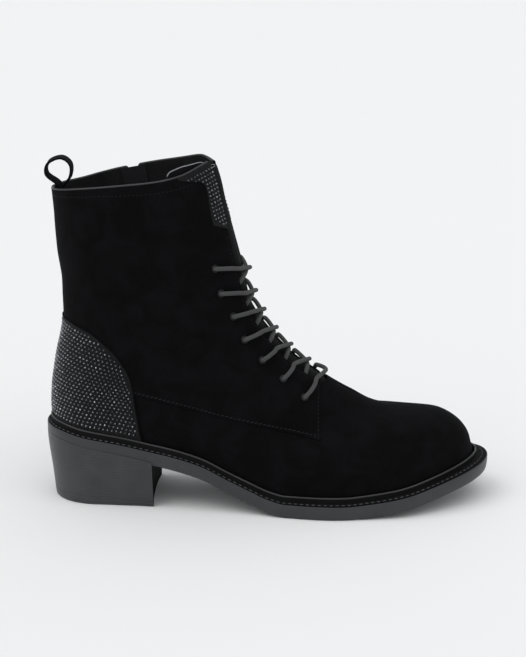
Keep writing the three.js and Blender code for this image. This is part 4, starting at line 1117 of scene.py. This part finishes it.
# Welt: ledge, stitch groove and the raised bead. Each row is a share of the margin, mm out and mm up.
bead, beadUp = 1.5, boot["weltThickness"]
beadFoot = gap + bead
weltProfile = [
    (0, gap, -0.9), (1, -0.9, -0.9), (1, -0.74, -0.8), (1, -0.72, -0.45), (1, -1.0, -0.38), (0.6, 0.6, -0.15),
    (0, beadFoot + 0.25, 0.1), (0, beadFoot + 0.05, 0.5), (0, beadFoot, 1.5), (0, beadFoot - 0.05, beadUp + 0.9),
    (0, gap + 0.9 * bead, beadUp + 1.6), (0, gap + 0.8 * bead, beadUp + 2.1), (0, gap + 0.62 * bead, beadUp + 2.35),
    (0, gap + 0.42 * bead, beadUp + 2.4), (0, gap + 0.22 * bead, beadUp + 2.3), (0, gap + 0.06 * bead, beadUp + 2.0),
    (0, gap, beadUp + 1.2)]
weltColumns = 460
gridPiece("welt_ring", weltColumns, len(weltProfile), ringPlace(weltColumns, weltProfile, weltBase), finish["welt"],
          thick=False, sharp=1.2, stands=["welt"])

# The bead's crest: a smooth rounded line of the welt's own rubber, coloured lighter than the groove as a painted
# highlight.
crestAngles = np.linspace(0, 2 * np.pi, 721)
crestLine = outlinePoint(crestAngles, np.full(721, gap + 0.56 * bead))
crestLine[:, 2] = weltBase(crestLine[:, 0]) + beadUp + 2.12
cordPiece("welt_crest", crestLine, 0.62, finish["crest"], sides=10)

# Sole body: the side band, its border underneath, and a recess for the tread.
thick = boot["soleThickness"]
band = [(1, -6.5, 1.5), (1, -5.2, 1.45), (1, -5.0, 0.1), (1, -4.8, 0), (1, -1.7, 0), (1, -1.1, 0.12), (1, -0.72, 0.5), (1, -0.5, 1.1)]
band += [(1, -0.3, 2.2), (1, -0.12, 3.5), (1, 0, 5), (1, 0, 7.4), (1, -0.03, 8.1), (1, -0.14, 8.55), (1, -0.3, 8.74), (1, -0.45, 8.72)]
band += [(1, -0.58, 8.55), (1, -0.66, 8.3), (1, -0.7, 8.1), (1, -0.8, 8), (1, -6.5, 8)]
gridPiece("sole_band", 460, len(band), ringPlace(460, band, soleBottom), finish["sole"], thick=False,
          sharp=1.2, stands=["outsole"])


def acrossPlace(inset, low, high, bottom, top, ribs=None):
    def place(u, v, w):
        angle = mix(high, low, v)
        one = outlinePoint(angle, margin(angle) - inset)
        other = outlinePoint(2 * np.pi - angle, margin(angle) - inset)
        spots = mix(one, other, u[:, None])
        spots[:, 0] = mix((one[:, 0] + other[:, 0]) / 2, spots[:, 0], np.minimum(1, np.abs(2 * u - 1) * 1.2))
        ground = soleBottom(spots[:, 0])
        spots[:, 2] = ground + mix(bottom + (ribs(spots, u) if ribs else 0), top, w)
        return spots
    return place


tread = {"pitch": 5.2, "depth": 0.85, "groove": 0.36, "columns": 42, "rows": 420}


def treadRibs(spots, u):
    swept = spots[:, 0] - 0.35 * np.abs(spots[:, 1] - middleY(spots[:, 0], 0.0))
    phase = (swept / tread["pitch"]) % 1
    cut = smoothStep(np.abs(phase - 0.5), 0.5 - tread["groove"] / 2 - 0.08, 0.5 - tread["groove"] / 2 + 0.02)
    border = smoothStep(np.minimum(u, 1 - u), 0.03, 0.07)
    return tread["depth"] * cut * border


breastAngle = float(angleAt(np.array(0.0), boot["heelLength"]))
gridPiece("sole_tread", tread["columns"], tread["rows"], acrossPlace(5.05, 0.06, breastAngle + 0.02, 0.03, 2.2, treadRibs),
          finish["sole"], sharp=0.9)
gridPiece("sole_core", 20, 90, acrossPlace(6.2, 0.03, np.pi - 0.03, 1.9, 8.9), finish["sole"])
print("welt and sole made")

# Heel block: the sole's outline behind the breast, stacked and tapered to a thin top piece.
heel = {"arc": 150, "breast": 30, "groove": 0.18, "hollow": 1.6, "film": 0.15}
heelLines = [(0.0, 1.4), (0.004, 0.55), (0.016, 0.12), (0.035, 0)]
heelLines += [(0.128, 0), (0.133, heel["groove"]), (0.139, heel["groove"]), (0.144, 0)]
heelLines += [(share, 0) for share in np.linspace(0.2, 1.0, 20)] + [(1.09, 0.02), (1.1, 0.9)]
heelLines = [heelLines[0]] + heelLines + [heelLines[-1]]
heelCount = heel["arc"] + heel["breast"]


def heelPlace(u, v, w):
    j = np.rint(u * heelCount).astype(int) % heelCount
    k = np.rint(v * (len(heelLines) - 1)).astype(int)
    up = np.array([line[0] for line in heelLines])[k]
    cut = np.array([line[1] for line in heelLines])[k]
    taper = smoothTable([(0, boot["heelInset"] + boot["heelTaper"]), (0.5, 0.6 * boot["heelTaper"]), (0.85, 0.12 * boot["heelTaper"]), (1, 0), (1.1, -0.04)])(up)
    inset = taper + cut + 0.02 * smoothStep(1 - up, -0.1, 0)
    angle = mix(breastAngle, 2 * np.pi - breastAngle, np.clip(j / heel["arc"], 0, 1))
    spots = outlinePoint(angle, margin(angle) - inset)
    ends = outlinePoint(np.full_like(angle, 2 * np.pi - breastAngle), margin(angle * 0 + breastAngle) - inset)
    starts = outlinePoint(np.full_like(angle, breastAngle), margin(angle * 0 + breastAngle) - inset)
    across = np.clip((j - heel["arc"]) / heel["breast"], 0, 1)
    breast = mix(ends, starts, across[:, None])
    bow = (2 * across - 1)
    breast[:, 0] -= heel["hollow"] * (1 - bow ** 2) + cut * 0.6
    onBreast = (j > heel["arc"])[:, None]
    spots = np.where(onBreast, breast, spots)
    inner = np.array([0.5 * (spots[:, 0].min() + spots[:, 0].max()), spots[:, 1].mean(), 0])
    capped = ((k == 0) | (k == len(heelLines) - 1))[:, None]
    spots[:, 2] = (soleBottom(spots[:, 0]) - gap) * up
    centre = np.stack([np.full_like(angle, inner[0]), np.full_like(angle, inner[1]), (soleBottom(inner[0]) - gap) * up], -1)
    return np.where(capped, centre, spots)


gridPiece("heel_stack", heelCount, len(heelLines) - 1, heelPlace, finish["heel"], thick=False, sharp=0.6,
          stands=["heel_block"])


# The breast carries a near-black film, a little proud of the block: painted shade, the block's own rubber coloured dark
# where the breast faces away from the light.
def breastShadePlace(u, v, w):
    spots = heelPlace((heel["arc"] + 1 + u * (heel["breast"] - 2)) / heelCount, (1 + v * (len(heelLines) - 3)) / (len(heelLines) - 1), w)
    spots[:, 0] += heel["film"] * (1 - w)
    return spots


gridPiece("heel_breast_shade_film", heel["breast"] - 2, len(heelLines) - 3, breastShadePlace, finish["breast"])
print("heel made")

# Stitches: along the seams, facings, collar, zip and welt.
seamStitch = {"pitch": 2.6, "length": 2.3, "width": 0.62, "slant": 24}
fineStitch = {"pitch": 2.5, "length": 1.9, "width": 0.5}
weltStitch = {"pitch": 3.6, "length": 2.4, "width": 0.75}
pulled = -0.12
for word, side in (("outer", 1), ("inner", -1)):
    share = np.linspace(0.012, 0.8, 500)
    for row, up in (("low", 1.5), ("high", 3.4)):
        levels = levelAtHeight(lambda level: side * mix(edgeAngle(level), np.pi, share), lambda x: seamHeight(x) + up)
        angles = side * mix(edgeAngle(levels), np.pi, share)
        look = dict(seamStitch if row == "low" else fineStitch)
        stitchRow(f"seam_stitches_{row}_{word}", levels, angles, finish["seamThread"], look, pulled)
    levels = np.linspace(float(levelAtHeight(edgeAngle, seamHeight)[0]) + 0.012, 0.985, 700)
    edge = skin(levels, side * edgeAngle(levels))
    for row, inset in (("near", 1.7), ("far", 3.6)):
        step = np.linalg.norm(skin(levels, side * (edgeAngle(levels) + 0.02)) - edge, axis=1) / 0.02
        angles = side * (edgeAngle(levels) + inset / step)
        top = 0.985 if row == "near" else panelFoot - 0.01
        keep = levels < (panelFoot - 0.012)
        stitchRow(f"facing_stitches_{row}_{word}", levels[keep], angles[keep], finish["thread"], fineStitch, pulled)
for part, side, front, back, columns in quarterParts:
    share = np.linspace(0.02, 0.985, 300)
    level = np.full(300, 0.974)
    angles = side * mix(front(level), back(level), share)
    keep = np.abs(angles) > panelBackAngle(level) + 0.05
    stitchRow(f"collar_stitches_{part}", level[keep], angles[keep], finish["thread"], fineStitch, pulled)
weltAngles = np.linspace(0, 2 * np.pi, 2401)
weltLine = outlinePoint(weltAngles, mix(margin(weltAngles) - 0.7, beadFoot, 0.42))
weltLine[:, 2] = weltBase(weltLine[:, 0]) + 0.1
weltSpots = resample(weltLine, weltStitch["pitch"])
stitch = bmesh.new()
bmesh.ops.create_uvsphere(stitch, u_segments=8, v_segments=6, radius=0.5)
bmesh.ops.rotate(stitch, matrix=Matrix.Rotation(math.pi / 2, 3, "Y"), verts=stitch.verts)
weltAlong = unit(np.roll(weltSpots, -1, 0) - np.roll(weltSpots, 1, 0))
weltUp = unit(np.cross(weltAlong, np.cross(np.tile([0.0, 0.0, 1.0], (len(weltSpots), 1)), weltAlong)))
strewPiece("welt_stitches", stitch, weltSpots, axesFrom(weltAlong, weltUp),
           np.tile([weltStitch["length"], weltStitch["width"], 0.75], (len(weltSpots), 1)), finish["weltThread"], sharp=2.0)
print("stitches made")

# Zip on the inner side: woven tape behind the wall, two rows of teeth, slider and swinging pull tab.
zipPart = {"tapeWidth": 15, "tapeThickness": 0.6, "pitch": 2.1, "toothLong": 3.4, "toothWide": 1.35, "toothHigh": 1.5}
zipFoot = float(levelAtHeight(lambda level: -zipAngle(level, 1) + np.zeros(1), lambda x: seamHeight(x) + 0.6)[0])


def zipSpot(level, offset, out):
    angle = -angleAt(level, zipX(level) + offset)
    return skin(level, angle) + skinNormal(level, angle) * np.broadcast_to(out, level.shape)[:, None]


def tapePlace(u, v, w):
    level = mix(zipFoot - 0.03, 0.998, v)
    return zipSpot(level, (0.5 - u) * zipPart["tapeWidth"], mix(-wall - 0.3, -wall - 0.3 - zipPart["tapeThickness"], w))


gridPiece("zip_tape_cloth", 14, 120, tapePlace, finish["tape"], mapMm=(15, 140), stands=["zip_tape"])
toothLevels = np.linspace(zipFoot + 0.012, 0.985, 400)
toothLine = zipSpot(toothLevels, 0.0, -0.9)
toothPath = resample(np.column_stack([toothLine, toothLevels]), zipPart["pitch"] / 2)
level = toothPath[:, 3]
offsets = np.where(np.arange(len(level)) % 2, 1, -1) * 1.05
centres = zipSpot(level, offsets, -1.05)
normals = skinNormal(level, -angleAt(level, zipX(level)))
upward = unit(zipSpot(level + 0.01, offsets, -1.05) - zipSpot(level - 0.01, offsets, -1.05))
tooth = bmesh.new()
bmesh.ops.create_cube(tooth, size=1)
bmesh.ops.bevel(tooth, geom=tooth.edges[:], offset=0.16, offset_type="OFFSET", segments=2, profile=0.5, affect="EDGES", material=-1)
strewPiece("zip_teeth_rows", tooth, centres, axesFrom(upward, normals),
           np.tile([zipPart["toothWide"], zipPart["toothLong"], zipPart["toothHigh"]], (len(centres), 1)), finish["teeth"],
           sharp=0.8, stands=["zip_teeth"])
for word, side in (("front", 1), ("back", -1)):
    levels = np.linspace(zipFoot + 0.01, 0.97, 400)
    stitchRow(f"zip_stitches_{word}", levels, -angleAt(levels, zipX(levels) + side * (boot["zipGap"] / 2 + 1.8)), finish["thread"],
              fineStitch, pulled)

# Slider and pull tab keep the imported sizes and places; a softened copy of each shows.
for node, body, edge in (("zip_slider", "root", 0.35), ("zip_pull", "pull_tab", 0.3)):
    copyMesh = bmesh.new()
    copyMesh.from_mesh(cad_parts[node].data)
    bmesh.ops.remove_doubles(copyMesh, verts=copyMesh.verts, dist=1e-6)
    bmesh.ops.dissolve_limit(copyMesh, angle_limit=0.02, verts=copyMesh.verts, edges=copyMesh.edges)
    crisp = [e for e in copyMesh.edges if len(e.link_faces) == 2 and e.calc_face_angle(0) > 0.6]
    bmesh.ops.bevel(copyMesh, geom=crisp, offset=edge / 1000, offset_type="OFFSET", segments=3, profile=0.5, affect="EDGES",
                    material=-1, clamp_overlap=True)
    finishPiece(f"{node}_body", copyMesh, finish["nickel"], body, [node], sharp=0.9)
print("zip made")


# Pale seamless floor under an even sky; three wide lamps far off give the soft shading and shadow.
studio = {"floor": "#f2f2f2", "floorSize": 60, "sky": (0.97, 0.985, 1.0), "skyStrength": 0.61}
floorMesh = bmesh.new()
bmesh.ops.create_grid(floorMesh, x_segments=1, y_segments=1, size=studio["floorSize"] / 2)
floorData = bpy.data.meshes.new("studio_floor")
floorMesh.to_mesh(floorData)
floorMesh.free()
floor = bpy.data.objects.new("studio_floor", floorData)
bpy.context.scene.collection.objects.link(floor)
paper = newMaterial("pale_studio_paper")
paperShader = addNode(paper, "ShaderNodeBsdfPrincipled", {"Base Color": hexColour(studio["floor"]), "Roughness": 0.9, "Specular IOR Level": 0.05})
addNode(paper, "ShaderNodeOutputMaterial", {"Surface": paperShader.outputs["BSDF"]})
floorData.materials.append(paper)
world = bpy.data.worlds.new("studio")
world.use_nodes = True
world.node_tree.nodes["Background"].inputs["Color"].default_value = studio["sky"] + (1,)
world.node_tree.nodes["Background"].inputs["Strength"].default_value = studio["skyStrength"]
bpy.context.scene.world = world
# name, where the light comes from, strength, width in degrees
lamps = [("key_light", (-1.1, -0.6, 1.5), 0.72, 50), ("fill_light", (0.9, -0.7, 1.5), 0.36, 60), ("top_light", (-0.1, -0.3, 1.6), 0.48, 70)]
for name, place, strength, width in lamps:
    lamp = bpy.data.lights.new(name, "SUN")
    lamp.energy = strength
    lamp.angle = math.radians(width)
    light = bpy.data.objects.new(name, lamp)
    light.location = place
    light.rotation_euler = (-Vector(place)).to_track_quat("-Z", "Y").to_euler()
    bpy.context.scene.collection.objects.link(light)
bpy.context.scene.view_settings.view_transform = "Standard"
print("studio made")
